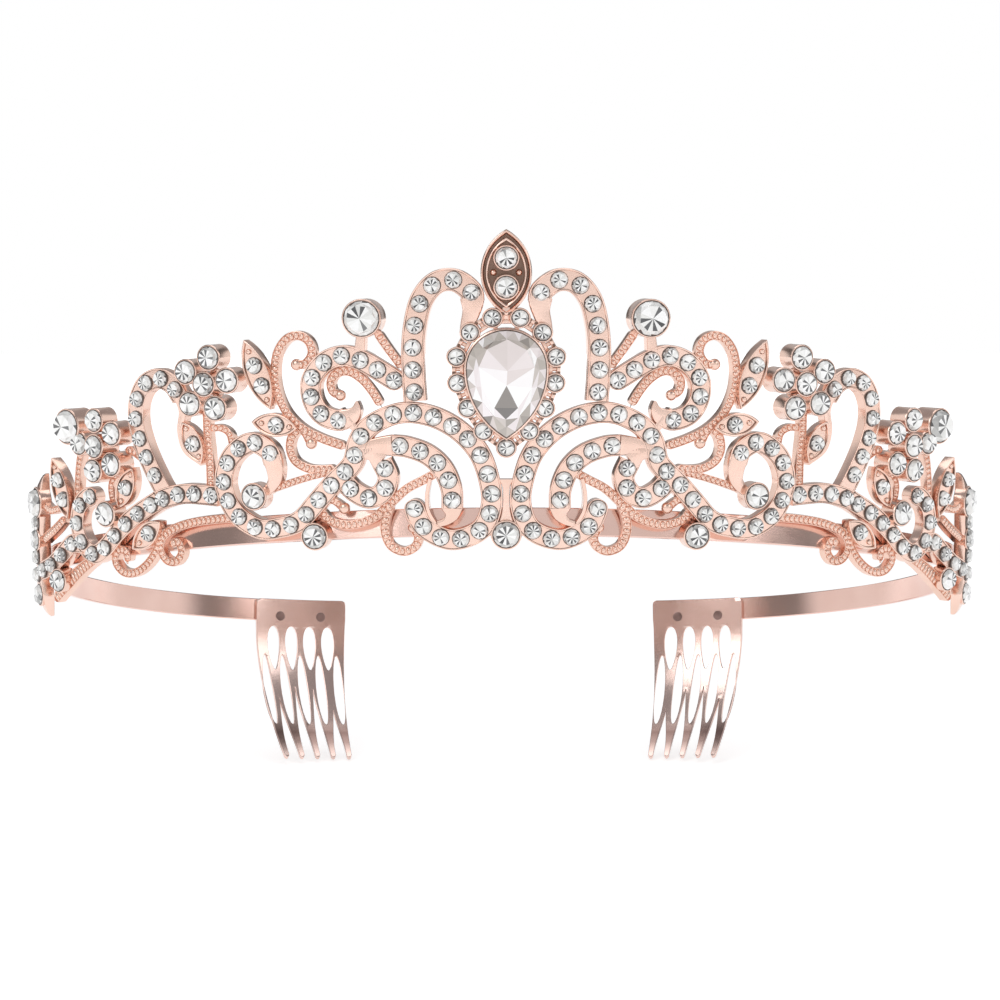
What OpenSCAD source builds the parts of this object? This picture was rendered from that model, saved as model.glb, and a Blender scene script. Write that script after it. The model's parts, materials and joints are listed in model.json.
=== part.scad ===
// Bridal tiara: an openwork panel of scrolls, leaves and flowers set with round stones, soldered to
// an open hoop that carries a hair comb on each of its rear ends.
//
// Frame: X to the wearer's side, -Y out of the wearer's forehead, Z up. The panel is a wall that
// stands straight up along Z and bends round the head. The hoop lies in a plane that falls towards
// the back by hoop_pitch. The origin is under the middle of the whole piece, at the comb tips.
//
// The panel is drawn flat and then wrapped: u is the distance along the hoop from the front centre,
// v is the height above the hoop's front centre, and w is the distance outwards from the hoop.

/* [Hoop] */
// Radius of the front stretch of the hoop
front_r = 85.7; // [84:0.1:88]
// Half angle of the front stretch
front_a = 46.9; // [46:0.1:48]
// Radius of the bend at each temple
temple_r = 19; // [18:0.5:20]
// Direction of the hoop where the temple bend ends
temple_a = 66.4; // [66:0.1:67]
// Radius of the rear stretches
rear_r = 48.5; // [48:0.1:50]
// Direction of the hoop at its rear ends
rear_a = 173.2; // [170:0.1:174]
// Height of the hoop strip
band_h = 3.8; // [3.4:0.1:4.2]
// Thickness of the hoop strip
band_t = 0.9; // [0.8:0.1:1]
// Fall of the hoop's plane towards the back
hoop_pitch = 16.3; // [15:0.1:18]

/* [Panel] */
// Radius of the panel across the front
wall_front_r = 89.4; // [89:0.1:90]
// Half angle of the panel's front stretch
wall_front_a = 43.6; // [43:0.1:44]
// Radius of the panel's bend at each temple
wall_temple_r = 21.4; // [21:0.1:22]

/* [Combs] */
// Width of a comb's plate
comb_w = 16.4; // [16:0.1:17]
// Drop from the top of the hoop to the tips of the teeth
comb_drop = 28.5; // [26:0.5:30]
// Thickness of the comb's sheet
comb_t = 0.7; // [0.6:0.1:0.8]
// Radius that the teeth are curled to
curl_r = 38; // [36:1:60]
// How far the tips lean towards the hoop's opening
tooth_lean = 2.2; // [0:0.1:3]
// Number of teeth
teeth = 5; // [4:1:5]

/* [Openwork] */
// Half width of a ribbon that is set with a row of stones
pave_hw = 1.4; // [1.3:0.05:1.5]
// Thickness of the rails along a set ribbon
rail = 0.28; // [0.25:0.01:0.35]
// Half width of a milgrain ribbon
vine_hw = 0.62; // [0.5:0.01:0.7]
// Depth of a set ribbon from its back to the top of its rails
pave_depth = 1.75; // [1.6:0.05:1.9]
// Depth of a milgrain ribbon
vine_depth = 1.4; // [1.2:0.05:1.6]
// Depth of the channel that the stones sit in
channel = 0.6; // [0.5:0.05:0.7]

/* [Stones] */
// Radius of the small stones
stone_r = 1.08; // [1:0.01:1.1]
// Distance between neighbouring small stones
pitch = 2.65; // [2.6:0.01:2.7]
// Radius of the flower stones
petal_r = 1.5; // [1.4:0.05:1.55]
// Radius of the ball stones at the tips of the two spikes
ball_r = 2.3; // [2.2:0.05:2.4]

/* [Centre drop] */
// Width of the pear stone
pear_w = 10; // [9.8:0.1:10.2]
// Height of the pear stone
pear_h = 14; // [13.8:0.1:14.2]
// Height of the pear's widest line above the hoop
pear_v = 20.6; // [20.4:0.1:20.8]

/* [Hidden] */
$fn = 32;
rose = [0.89, 0.68, 0.60];
clear_stone = [0.86, 0.88, 0.92];

back = band_t / 2;                      // the panel's back lies on the hoop's outer face
pave_top = back + pave_depth;
floor_w = pave_top - channel;
vine_top = back + vine_depth;
girdle = 0.75;                          // height of a small stone up to its crown
crown = 0.45;                           // height of a small stone's crown
cup_wall = 0.25;
cup_w = back + 0.16;                    // bottom of the cups
leaf_w = back + 0.23;                   // bottom of the leaves
lap = 0.05;                             // how far a piece sinks into the one that it is soldered to

// Centres of the hoop's temple and rear arcs, and the lengths at which its arcs end
front_end = front_r * front_a * PI / 180;
temple_end = front_end + temple_r * (temple_a - front_a) * PI / 180;
rear_end = temple_end + rear_r * (rear_a - temple_a) * PI / 180;
temple_c = [(front_r - temple_r) * sin(front_a), front_r - (front_r - temple_r) * cos(front_a)];
rear_c = temple_c + (rear_r - temple_r) * [-sin(temple_a), cos(temple_a)];

wall_front_end = wall_front_r * wall_front_a * PI / 180;
wall_temple_c = (wall_front_r - wall_temple_r) * [sin(wall_front_a), -cos(wall_front_a)] + [0, wall_front_r];

// Lowest point of the teeth and the middle of the whole piece, both from the hoop's front centre
comb_mid = rear_end - comb_w / 2;
curl_top = 5;                           // the teeth start to curl this far below the hoop's top
curl_in = curl_r - sqrt(pow(curl_r, 2) - pow(comb_drop - curl_top, 2));
tooth_gap = (comb_w - 3.2) / (teeth - 1);
last_tooth = (teeth - 1) / 2 * tooth_gap + tooth_lean;
tips_in = curl_in + band_t / 2 + pow(last_tooth, 2) / (2 * rear_r);
tips_y = hoop_xy(comb_mid)[1] + last_tooth * sin(hoop_dir(comb_mid)) + tips_in * cos(hoop_dir(comb_mid));
tips_z = -tips_y * sin(hoop_pitch) + (band_h / 2 - comb_drop) * cos(hoop_pitch);
rear_y = (hoop_xy(rear_end)[1] - band_t / 2 * cos(rear_a)) * cos(hoop_pitch) + band_h / 2 * sin(hoop_pitch);
PEAR_FLOOR = 1.6;                       // thickness of the metal behind the pear stone
PEAR_RIM = 3.6;                         // height of the pear's rim
PEAR_TOP = 5.1;                         // height of the pear stone's table
front_y = -(back + PEAR_TOP);
origin = [0, (front_y + rear_y) / 2, tips_z];

// ---- Paths of the panel, right half: [u, v] or [u, v, half width] ----

MAIN_SCROLL = [
    [12.1, 3.2], [11.7, 1.2], [10.4, -0.8], [7, -2.2], [3.3, -0.8], [1.9, 2.5], [2.3, 6.2],
    [3.7, 9.7], [6.5, 12.6], [10, 14.3], [13.8, 14.6], [17.4, 13.1], [19.3, 10.9], [20.2, 7.8],
    [22.6, 5.3], [25, 2.6], [27.5, -0.1], [30.5, -1.2], [33.5, -1.4], [36.9, 0.6], [38.6, 4.3],
    [37.6, 8], [34.6, 10.2], [32, 9.3], [31.2, 7.6],
];
MAIN_TAIL = [[31.2, 7.6, 1.3], [30.6, 5.8, 0.9], [31.3, 4.2, 0.7], [32.3, 3.3, 0.6]];
INNER_SCROLL = [[14.9, 10.3], [12.9, 10.1], [10.2, 9.1], [8.2, 7.2], [7.1, 4.5], [7, 2]];
INNER_HEAD = [[19.2, 9.5, 0.7], [17.2, 10.1, 1.1], [14.9, 10.3, 1.4]];
INNER_TAIL = [[7, 2, 1.4], [7.1, 1, 0.9], [7.9, 0.2, 0.5], [8.9, -0.1, 0.4]];
SMALL_LOOP = [[16.3, 8.2], [15.4, 6], [16.2, 4], [18, 3.2], [19.9, 4], [21.2, 5.2]];
SMALL_HEAD = [[19, 9.2, 0.6], [17.5, 9.1, 1], [16.3, 8.2, 1.4]];
COMMA = [
    [13.4, 18.2], [15.4, 19.5], [18.9, 21.5], [21.5, 22.1], [24, 21.1], [25.7, 18.8],
    [25.6, 16.2], [24.2, 14.2], [22, 13.5], [20.8, 14],
];
COMMA_HOOK = [[20.9, 13.8, 0.7], [20.2, 14.6, 0.5], [20.6, 15.6, 0.3]];
COMMA_FOOT = [[20.9, 13.8, 0.6], [19.7, 12.4, 0.5]];
ARCH = [
    [11.8, 16.2], [12, 19], [12.1, 22.5], [11.8, 26.2], [10.9, 29.6], [9, 31.8], [6.6, 32.1],
    [4.6, 30.7], [4.3, 29.3],
];
ARCH_FOOT = [[4.3, 29.3, 1.3], [4.6, 27.9, 0.9], [4.9, 26.6, 0.7]];

INNER_CURL = [
    [21.9, 16.8], [22.9, 17.4], [23.1, 18.7], [22.2, 19.8], [20.6, 20], [18.9, 19], [17.5, 17.4],
    [16.4, 15.6],
];
TALL_CURL = [
    [28, 20.8], [26.6, 21], [25.7, 22.4], [26.2, 24], [27.7, 24.7], [29.4, 24.1], [30.7, 22.1],
    [31, 19.2], [30.5, 16.6], [29.2, 14.2], [27.1, 12.3], [24.4, 11], [21.2, 10],
];
STALK = [[31.1, 20.6, 0.4], [31.7, 18, 0.5], [31.4, 15.2, 0.4]];
SPUR = [[27.4, 12.4, 0.6], [26.6, 11.5, 0.6], [26, 10.3, 0.7]];
SIDE_CURL = [[27.6, 12.4], [28.7, 11], [28.9, 9.4], [28.2, 7.9], [26.6, 7], [24.8, 6.8], [22.6, 7]];
BRANCH = [[22.8, 6.7, 0.5], [25.5, 6, 0.5], [28.4, 5.1, 0.5], [32, 3.8, 0.5]];

CENTRE_VINE = [
    [9.2, 6.6], [11, 5.6], [13, 4.5], [15, 2.7], [17.2, 0.7], [19.5, -0.3], [21.6, -0.5],
    [23.6, 0.1], [24.7, 1.4],
];
CENTRE_SPUR = [[24, 2.9, 0.5], [22.7, 2.6, 0.5], [21.5, 1.7, 0.6]];
HANGING_LOOP = [
    [15.1, 2.6], [15.8, 0.6], [15.9, -1.4], [15.1, -3.2], [13.4, -3.9], [11.9, -3.2], [11.5, -1.9],
    [12.2, -0.7],
];
LEAF_RIM = [[9.9, 5.9, 0.25], [10.3, 3.6, 0.25], [10.1, 1.6, 0.25], [9.2, -0.1, 0.25]];
LONG_VINE = [
    [36, -0.1], [40, -0.5], [44, -1.2], [47, -2.2], [49, -3.6], [49.4, -5.3], [48.4, -6.7],
    [46.8, -6.8], [45.8, -5.5], [46.4, -4.1], [47.8, -4.5],
];
END_VINE = [
    [49.4, -2.2], [50, -5], [51.6, -7.3], [54, -8.9], [56.4, -9], [57.9, -7.6], [57.3, -6],
    [55.7, -6.1], [55.5, -7.5],
];

HEART_ROW = [[39.6, 2.7], [42, 2.8], [44.6, 2.8], [47.2, 2.3], [49.5, 1.5]];
HEART_LOOP = [
    [45.4, 16], [46.9, 17.8], [49.2, 18.5], [51.6, 17.4], [52.9, 15], [53, 12.2], [52.2, 9.5],
    [51, 7], [49.2, 4], [48.4, 2.9],
];
HEART_SIDE = [[45.4, 16, 0.9], [45, 14, 0.6], [45.4, 11.4, 0.5], [44.6, 8.8, 0.45], [42, 7.1, 0.4]];
STEM = [[41.4, 14.2], [41.3, 11], [41, 8], [40.9, 3.6]];
STEM_ARCH = [[40.8, 11.9, 0.5], [39.2, 12, 0.5], [37.9, 11.3, 0.5], [37.4, 9.6, 0.5]];

SIDE_SCROLL = [
    [49.5, 1.5], [52, 0.1], [54.4, -1.4], [57, -3.5], [59.3, -5.7], [61.6, -6.9], [63.9, -5.8],
    [65.2, -3.3], [64.8, -0.6], [63, 1.1], [60.9, 1.3],
];
SIDE_ROW = [[64.2, -5.6], [66.6, -5.9], [68.8, -7.6], [71.4, -9.4], [74.4, -10.6], [76.6, -11]];
SIDE_STRUT = [[60.5, -7, 0.6], [64, -8.8, 0.9], [68, -11.6, 1.1], [71.5, -14.6, 0.9]];

SPRIG_STALK = [[51.8, 6.9, 0.6], [53.8, 8, 0.6], [55.4, 8.3, 0.6]];
SPRIG_STEM = [[64.2, 9, 0.7], [65.2, 5, 0.6], [65.6, 1, 0.6], [65.4, -2, 0.6]];
SPRIG_FOOT = [[57, 5, 0.5], [58.4, 3.2, 0.5], [58.2, 0.9, 0.5]];

BALL_STEMS = [
    [[18.9, 25, 0.6], [19.1, 22.8, 0.7]],
    [[16.9, 25.3, 0.6], [15.3, 23, 0.6], [13.5, 20.6, 0.6]],
];
END_PATH = [
    [76, 4.6, 0.2], [76.3, 2.6, 0.8], [76.6, 0.6, 1.4], [76.6, -3, 1.3], [77, -7, 1.5], [76.8, -11, 1.4],
    [76.2, -14.6, 1.8], [75.6, -17, 1.1], [75, -18.6, 0.3],
];
END_TIES = [
    [[68.6, -2.4, 0.6], [71.5, -4.4, 0.7], [75.6, -6.4, 0.7]],
    [[69.6, -1, 0.5], [72.6, -1.6, 0.6], [75.6, -0.8, 0.6]],
];

// Round settings: [u, v, stone radius, height of the stone's girdle above the hoop's face]
BEZEL = [33.7, 3, 1.6, 2.4];
DROP_BEZEL = [25.2, -2.1, 1.6, 2.2];
BASE_BEZEL = [0, -1.4, 1.7, 2.4];
SIDE_BEZEL = [58.2, -0.8, 1.6, 2.6];
BALL = [18.4, 27.1, ball_r, 3.2];
FLOWER = [
    [40.6, 18, petal_r, 3], [39.8, 21.6, petal_r, 3], [43.4, 19.6, petal_r, 3],
    [37.1, 18.6, petal_r, 3], [38.9, 14.8, petal_r, 3], [42.8, 15.3, petal_r, 3],
];
SPRIG_FLOWER = [
    [59.3, 8.7, petal_r, 3.4], [56.3, 10.6, petal_r, 3], [59.6, 12.3, petal_r, 3],
    [62.7, 8.9, petal_r, 3], [60, 5.2, petal_r, 3], [56.5, 6.3, petal_r, 3],
];
SPRIG_BALL = [64.8, 11.2, ball_r, 3.4];
END_BEZELS = [[76.6, -0.9, 2.1, 1.8], [77, -6.4, 1.5, 1.8], [76.4, -14.5, 1.5, 1.6]];
LOW_BEZEL = [69, -11.4, 1.5, 2.2];

// Leaves: [u, v, length, turn, distances of its stones from its middle, distances of its beads]
LEAVES = [
    [33.3, 19.4, 10, 68, [-1.6, 1.3], [-3.6, 3.3]],
    [30.9, 12.7, 6.6, 6, [-0.2], [-2.1, 1.9]],
    [43.4, 9.9, 6.4, 62, [-0.2], [-2.1, 2.1]],
];
VINE_LEAF = [51.4, -3.4, 6.6, -40, [-0.4], [1.8]];
SPRIG_LEAVES = [
    [55.1, 3, 6.6, -64, [0], [-2.1, 2.1]],
    [68.8, 2, 9.2, 68, [-1.7, 1.2], [3.2]],
];

// ---- The hoop's curve and the wrapped panel ----

// Direction of the hoop at distance s from the front centre
function hoop_dir(s) =
    s < front_end ? s / front_r * 180 / PI
    : s < temple_end ? front_a + (s - front_end) / temple_r * 180 / PI
    : temple_a + (s - temple_end) / rear_r * 180 / PI;

// Point of the hoop, in its own plane, with Y towards the back
function hoop_xy(s) =
    let (a = hoop_dir(s), out = [sin(a), -cos(a)])
    s < front_end ? [0, front_r] + front_r * out
    : s < temple_end ? temple_c + temple_r * out
    : rear_c + rear_r * out;

// Direction of the panel at distance u from the front centre
function wall_dir(u) =
    u < wall_front_end ? u / wall_front_r * 180 / PI
    : wall_front_a + (u - wall_front_end) / wall_temple_r * 180 / PI;

// Point of the panel at distance w outwards from the hoop
function wrap(u, v, w) =
    let (a = wall_dir(u), front = u < wall_front_end)
    let (centre = front ? [0, wall_front_r] : wall_temple_c, r = front ? wall_front_r : wall_temple_r)
    let (p = centre + (r + w) * [sin(a), -cos(a)])
    [p[0], p[1], v];

// Where the panel's point u falls on the flat plane that touches the panel at u = at
function across(at, u) =
    flat(wrap(u, 0, floor_w) - wrap(at, 0, floor_w)) * [cos(wall_dir(at)), sin(wall_dir(at))];

// ---- Smooth paths ----

function blend(a, b, c, d, t) =
    (2 * b + (c - a) * t + (2 * a - 5 * b + 4 * c - d) * t * t + (3 * b - a - 3 * c + d) * t * t * t) / 2;

// Control point i, with one more mirrored off each end
function knot(c, i) =
    i < 0 ? 2 * c[0] - c[1] : i >= len(c) ? 2 * c[len(c) - 1] - c[len(c) - 2] : c[i];

function curve(c, n = 8) = [
    for (i = [0 : len(c) - 2]) for (k = [0 : n - 1])
        blend(knot(c, i - 1), c[i], c[i + 1], knot(c, i + 2), k / n),
    c[len(c) - 1],
];

function flat(p) = [p[0], p[1]];

// Distance along a list of points, up to each of them
function run(p) = [
    for (i = 0, s = 0; i < len(p); s = s + (i + 1 < len(p) ? norm(flat(p[i + 1] - p[i])) : 0), i = i + 1) s,
];

// Point at distance d along the points p, whose distances are r
function along(p, r, d) = [for (k = [0 : len(p[0]) - 1]) lookup(d, [for (i = [0 : len(p) - 1]) [r[i], p[i][k]]])];

// The smooth path through c, cut into even steps
function even(c, step) =
    let (p = curve(c), r = run(p), total = r[len(r) - 1], n = max(1, round(total / step)))
    [for (i = [0 : n]) along(p, r, total * i / n)];

// Places of the stones along c: their count is what fits at the gap between neighbours
function stops(c, lead = 1.3, tail = 1.3, gap = pitch) =
    let (p = curve(c), r = run(p), total = r[len(r) - 1] - lead - tail, n = round(total / gap))
    [for (i = [0 : n]) along(p, r, lead + total * i / n)];

function side_of(p, i) =
    let (t = flat(p[min(i + 1, len(p) - 1)] - p[max(i - 1, 0)]))
    [-t[1], t[0]] / norm(t);

// ---- Building pieces ----

// One edge of a ribbon: sign says which. shrink draws it narrower
function edge(p, at, hw, sign, shrink) = [
    for (i = [0 : len(p) - 1])
        let (h = (len(p[i]) > 2 ? p[i][2] : hw) - shrink, q = flat(p[i]) + sign * h * side_of(p, i))
        [across(at, q[0]), q[1]],
];

function reversed(p) = [for (i = [len(p) - 1 : -1 : 0]) p[i]];

// Outline of a ribbon along c, drawn on the plane that touches the panel at u = at
module stroke(c, at, hw = vine_hw, shrink = 0) {
    p = even(c, 1.2);
    polygon(concat(edge(p, at, hw, -1, shrink), reversed(edge(p, at, hw, 1, shrink))));
}

// Outlines of several ribbons
module strokes(list, at, hw = vine_hw, shrink = 0) {
    for (c = list) stroke(c, at, hw, shrink);
}

// Right half of the panel between two distances outwards from the hoop
module panel_shell(w0, w1) {
    w = (w0 + w1) / 2;
    low = -25;
    high = 45;
    strip_arc([0, wall_front_r], wall_front_r + w, -3, wall_front_a, w1 - w0, low, high);
    strip_arc(wall_temple_c, wall_temple_r + w, wall_front_a, 90, w1 - w0, low, high);
}

// Cuts the outline drawn by children() out of the panel
module cut_from_panel(at, w0, w1) {
    intersection() {
        panel_shell(w0, w1);
        on_panel(at, 0, -8) linear_extrude(16) offset(delta = 0.004) children();
    }
}

// Ribbons with a rail on each edge and a channel between for a row of stones; closed ones are plain
module set_ribbons(list, at, plain = [], hw = pave_hw) {
    difference() {
        cut_from_panel(at, back, pave_top) {
            strokes(list, at, hw);
            strokes(plain, at);
        }
        cut_from_panel(at, floor_w, pave_top + 1) strokes(list, at, hw, rail);
    }
}

module ribbons(list, at, hw = vine_hw, top = vine_top) {
    cut_from_panel(at, back, top) strokes(list, at, hw);
}

// Puts a flat piece on the panel, with its own Z pointing outwards
module on_panel(u, v, w, turn = 0) {
    p = wrap(u, v, w);
    a = wall_dir(u);
    multmatrix([[cos(a), 0, sin(a), p[0]], [sin(a), 0, -cos(a), p[1]], [0, 1, 0, p[2]], [0, 0, 0, 1]])
        rotate([0, 0, turn]) children();
}

// Round brilliant: straight below its girdle, with a cone and a flat table above
module stone(r, body = girdle, top = crown) {
    cylinder(r = r, h = body);
    translate([0, 0, body]) cylinder(r1 = r, r2 = r * 0.55, h = top);
}

module stone_row(c, lead = 1.3, tail = 1.3, gap = pitch) {
    for (q = stops(c, lead, tail, gap)) on_panel(q[0], q[1], floor_w) stone(stone_r);
}

// Round cup for a stone, standing on the hoop's face
module cup(s, floor_h = 0.8) {
    on_panel(s[0], s[1], cup_w) rotate_extrude() polygon([
        [0, 0], [s[2] + cup_wall, 0], [s[2] + cup_wall, s[3]], [s[2], s[3]], [s[2], floor_h], [0, floor_h],
    ]);
}

module cup_stone(s, floor_h = 0.8) {
    on_panel(s[0], s[1], cup_w + floor_h) stone(s[2], s[3] - floor_h, s[2] * 0.4);
}

// Leaf outline: two equal arcs that meet in points
module vesica(length, half_w) {
    r = (pow(length / 2, 2) + pow(half_w, 2)) / (2 * half_w);
    intersection() {
        translate([0, half_w - r]) circle(r);
        translate([0, r - half_w]) circle(r);
    }
}

module leaf(s) {
    half_w = min(1.75, s[2] * 0.24);
    on_panel(s[0], s[1], leaf_w, s[3]) {
        difference() {
            linear_extrude(pave_depth) vesica(s[2], half_w);
            translate([0, 0, floor_w - leaf_w]) linear_extrude(pave_depth) vesica(s[2] - 1.3, half_w - rail);
        }
        for (d = s[5]) translate([d, 0, floor_w - leaf_w]) sphere(0.38);
    }
}

module leaf_stone(s) {
    for (d = s[4]) on_panel(s[0], s[1], floor_w, s[3]) translate([d, 0, 0]) stone(stone_r);
}

module bead(u, v, r, top = vine_top) {
    on_panel(u, v, top - r) sphere(r);
}

module placed() {
    translate(-origin) children();
}

module on_left() {
    mirror([1, 0, 0]) children();
}

// ---- Hoop and combs, drawn in the hoop's plane ----

module in_hoop() {
    rotate([-hoop_pitch, 0, 0]) children();
}

// One arc of the hoop strip between two directions
module strip_arc(centre, r, a0, a1, depth = band_t, low = -band_h / 2, high = band_h / 2) {
    translate([centre[0], centre[1], 0]) rotate([0, 0, a0 - 90]) rotate_extrude(angle = a1 - a0, $fn = 96)
        translate([r - depth / 2, low]) square([depth, high - low]);
}

// Point of the hoop strip at distance s from the front centre, to either side, and w outwards
function band_point(s, w) =
    let (a = hoop_dir(abs(s)), p = hoop_xy(abs(s)) + w * [sin(a), -cos(a)])
    [sign(s) * p[0], p[1]];

module headband() color(rose) placed() in_hoop() translate([0, 0, -band_h / 2]) linear_extrude(band_h) {
    steps = [for (i = [-80 : 80]) rear_end * i / 80];
    polygon(concat(
        [for (s = steps) band_point(s, -band_t / 2)],
        [for (s = reversed(steps)) band_point(s, band_t / 2)]
    ));
}

// How far a tooth has leant over at depth d below the hoop's top
function lean(d) = -tooth_lean * pow(max(0, d - curl_top) / (comb_drop - curl_top), 2);

// One side of a tooth from its root to its tip, as half widths at depths below the hoop's top
TOOTH = [[4.5, 1.6], [12, 1.45], [16, 1.3], [20, 1.05], [24, 0.75], [28, 0.55]];

// Comb outline, with x along the hoop away from its opening and y up from the hoop's top
module comb_outline() {
    shoulder = 0.7;
    difference() {
        union() {
            translate([-comb_w / 2, -band_h]) square([comb_w, band_h]);
            translate([-comb_w / 2 + shoulder, -curl_top - 0.6]) square([comb_w - 2 * shoulder, 3]);
            for (i = [0 : teeth - 1]) translate([(i - (teeth - 1) / 2) * tooth_gap, 0]) {
                polygon(concat(
                    [for (t = TOOTH) [lean(t[0]) - t[1], -t[0]]],
                    [for (t = reversed(TOOTH)) [lean(t[0]) + t[1], -t[0]]]
                ));
                translate([lean(comb_drop - 0.5), 0.5 - comb_drop]) circle(0.55);
            }
        }
        for (i = [0 : teeth - 1])
            translate([(i - (teeth - 1) / 2) * tooth_gap + lean(16) + 0.1, -15.9]) rotate(90 - 4) vesica(11.4, 0.8);
        for (i = [1 : teeth - 1])
            translate([(i - teeth / 2) * tooth_gap, -8.7]) rotate(90 - 2) vesica(8, 1.05);
    }
}

// Sheet that the comb is cut from: straight behind the hoop, then curled in towards the head
module comb_sheet() {
    outer = rear_r - band_t / 2;
    translate([0, -rear_r, 0]) rotate([0, 0, 60]) rotate_extrude(angle = 60, $fn = 96) {
        translate([outer - comb_t, band_h / 2 - curl_top]) square([comb_t, curl_top]);
        intersection() {
            translate([outer - curl_r, band_h / 2 - curl_top]) difference() {
                circle(curl_r, $fn = 180);
                circle(curl_r - comb_t, $fn = 180);
            }
            translate([outer - 20, band_h / 2 - comb_drop - 2]) square([20, comb_drop + 2 - curl_top]);
        }
    }
}

module comb() {
    p = hoop_xy(comb_mid);
    in_hoop() translate([p[0], p[1], 0]) rotate([0, 0, hoop_dir(comb_mid) + 180]) intersection() {
        comb_sheet();
        translate([0, 0, band_h / 2]) rotate([90, 0, 0]) linear_extrude(24) comb_outline();
    }
}

module comb_right() color(rose) placed() comb();

module comb_left() color(rose) placed() on_left() comb();

// Flattened weld spots, two on each comb, on the plate's inner face
module weld_pair() {
    for (d = [-3.7, 3.7]) {
        a = hoop_dir(comb_mid + d);
        p = hoop_xy(comb_mid + d) - (band_t / 2 + comb_t - lap) * [sin(a), -cos(a)];
        in_hoop() translate([p[0], p[1], -1.1]) rotate([0, 0, a]) rotate([-90, 0, 0])
            cylinder(r1 = 0.55, r2 = 0.35, h = 0.15);
    }
}

module comb_spot_welds() color([0.78, 0.56, 0.50]) placed() {
    weld_pair();
    on_left() weld_pair();
}

// ---- Centre: pear drop with its halo, finial, and the stem below ----

// Pear outline: a round head and two long arcs that meet in the point below
module pear(grow = 0) {
    r = pear_w / 2;
    low = pear_h - r;
    flank = (low * low + r * r) / (2 * r);
    circle(r + grow);
    intersection() {
        translate([r - flank, 0]) circle(flank + grow, $fn = 96);
        translate([flank - r, 0]) circle(flank + grow, $fn = 96);
        translate([-r - grow, -low - 3 * grow]) square([2 * (r + grow), low + 3 * grow]);
    }
}

module pear_cup() color(rose) placed() on_panel(0, pear_v, back) {
    linear_extrude(PEAR_FLOOR) pear(0.3);
    linear_extrude(PEAR_RIM) difference() {
        pear(0.3);
        pear(0);
    }
}

module pear_stone() color(clear_stone) placed() on_panel(0, pear_v, back + PEAR_FLOOR) {
    linear_extrude(2.1) pear(0);
    translate([0, 0, 2]) hull() {
        linear_extrude(0.1) pear(0);
        linear_extrude(PEAR_TOP - PEAR_FLOOR - 2) scale(0.6) pear(0);
    }
}

// Middles of the halo's cups, going round from beside the top to the bottom
HALO = [[1.75, 27.2], [4.6, 25.3], [6.3, 22.1], [6.2, 18.7], [4.9, 15.4], [2.9, 12.4], [0, 10.2]];
halo_r = 1.05;

function halo_all() = concat(HALO, [for (i = [len(HALO) - 2 : -1 : 0]) [-HALO[i][0], HALO[i][1]]]);

module halo_frame() color(rose) placed() {
    for (q = halo_all()) {
        cup([q[0], q[1], halo_r, 2.7], 1.6);
        d = [q[0], q[1] - pear_v];
        reach = norm(d) - 4;
        turn = atan2(d[1], d[0]);
        // A short bar ties each cup to the pear's cup
        on_panel(q[0], q[1], back, turn) translate([-min(1.6, reach), -0.3, 0]) cube([1, 0.6, 1.3]);
    }
    ring = halo_all();
    for (i = [0 : len(ring) - 1]) {
        a = ring[i];
        b = ring[(i + 1) % len(ring)];
        d = b - a;
        on_panel(a[0], a[1], back, atan2(d[1], d[0])) translate([halo_r, -0.35, 0])
            cube([norm(d) - 2 * halo_r, 0.7, 1.4]);
    }
}

module halo_stones() color(clear_stone) placed() {
    for (q = halo_all()) cup_stone([q[0], q[1], halo_r, 2.7], 1.6);
}

FINIAL = [0, 33.2, 10.9, 3.3];
FINIAL_STONES = [[0, 35, 1.4, 1.9], [0, 31.2, 1.4, 1.9]];

module finial_frame() color(rose) placed() {
    on_panel(FINIAL[0], FINIAL[1], back, 90) {
        linear_extrude(0.7) vesica(FINIAL[2], FINIAL[3]);
        linear_extrude(1.9) difference() {
            vesica(FINIAL[2], FINIAL[3]);
            vesica(FINIAL[2] - 0.9, FINIAL[3] - 0.3);
        }
        linear_extrude(1.7) difference() {
            vesica(FINIAL[2] - 2.1, FINIAL[3] - 0.7);
            vesica(FINIAL[2] - 3, FINIAL[3] - 1);
        }
    }
    for (s = FINIAL_STONES) cup(s, 1);
    // Neck between the finial and the halo
    on_panel(0, 27.4, back) translate([-0.5, -0.6, 0]) cube([1, 1.6, 1.4]);
}

module finial_beads() color(rose) placed() {
    for (x = [-1.65, 1.65]) on_panel(x, 33.1, back + 1.05) sphere(0.45);
}

module finial_stones() color(clear_stone) placed() {
    for (s = FINIAL_STONES) cup_stone(s, 1);
}

module centre_stem() color(rose) placed() {
    cup(BASE_BEZEL);
    on_panel(0, 0, back) translate([-0.55, 0.2, 0]) cube([1.1, 5.2, 1.3]);
}

// ---- Openwork, right half ----

module arch() {
    set_ribbons([ARCH], 8, [ARCH_FOOT], 1.5);
}

module main_scroll() {
    set_ribbons([MAIN_SCROLL], 20, [MAIN_TAIL]);
    cup(BEZEL);
    cup(DROP_BEZEL);
}

module inner_scroll() {
    set_ribbons([INNER_SCROLL, SMALL_LOOP], 14, [INNER_HEAD, INNER_TAIL, SMALL_HEAD]);
}

module comma_scroll() {
    set_ribbons([COMMA], 20, [COMMA_HOOK, COMMA_FOOT]);
    ribbons([INNER_CURL], 20);
    bead(INNER_CURL[0][0], INNER_CURL[0][1], 0.7);
}

module ball_cup() {
    cup(BALL);
    ribbons(BALL_STEMS, 17);
}

module vine() {
    ribbons([TALL_CURL, STALK, SPUR, SIDE_CURL, BRANCH], 27);
    bead(TALL_CURL[0][0], TALL_CURL[0][1], 0.75);
    bead(SPUR[2][0], SPUR[2][1], 0.75);
}

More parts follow.
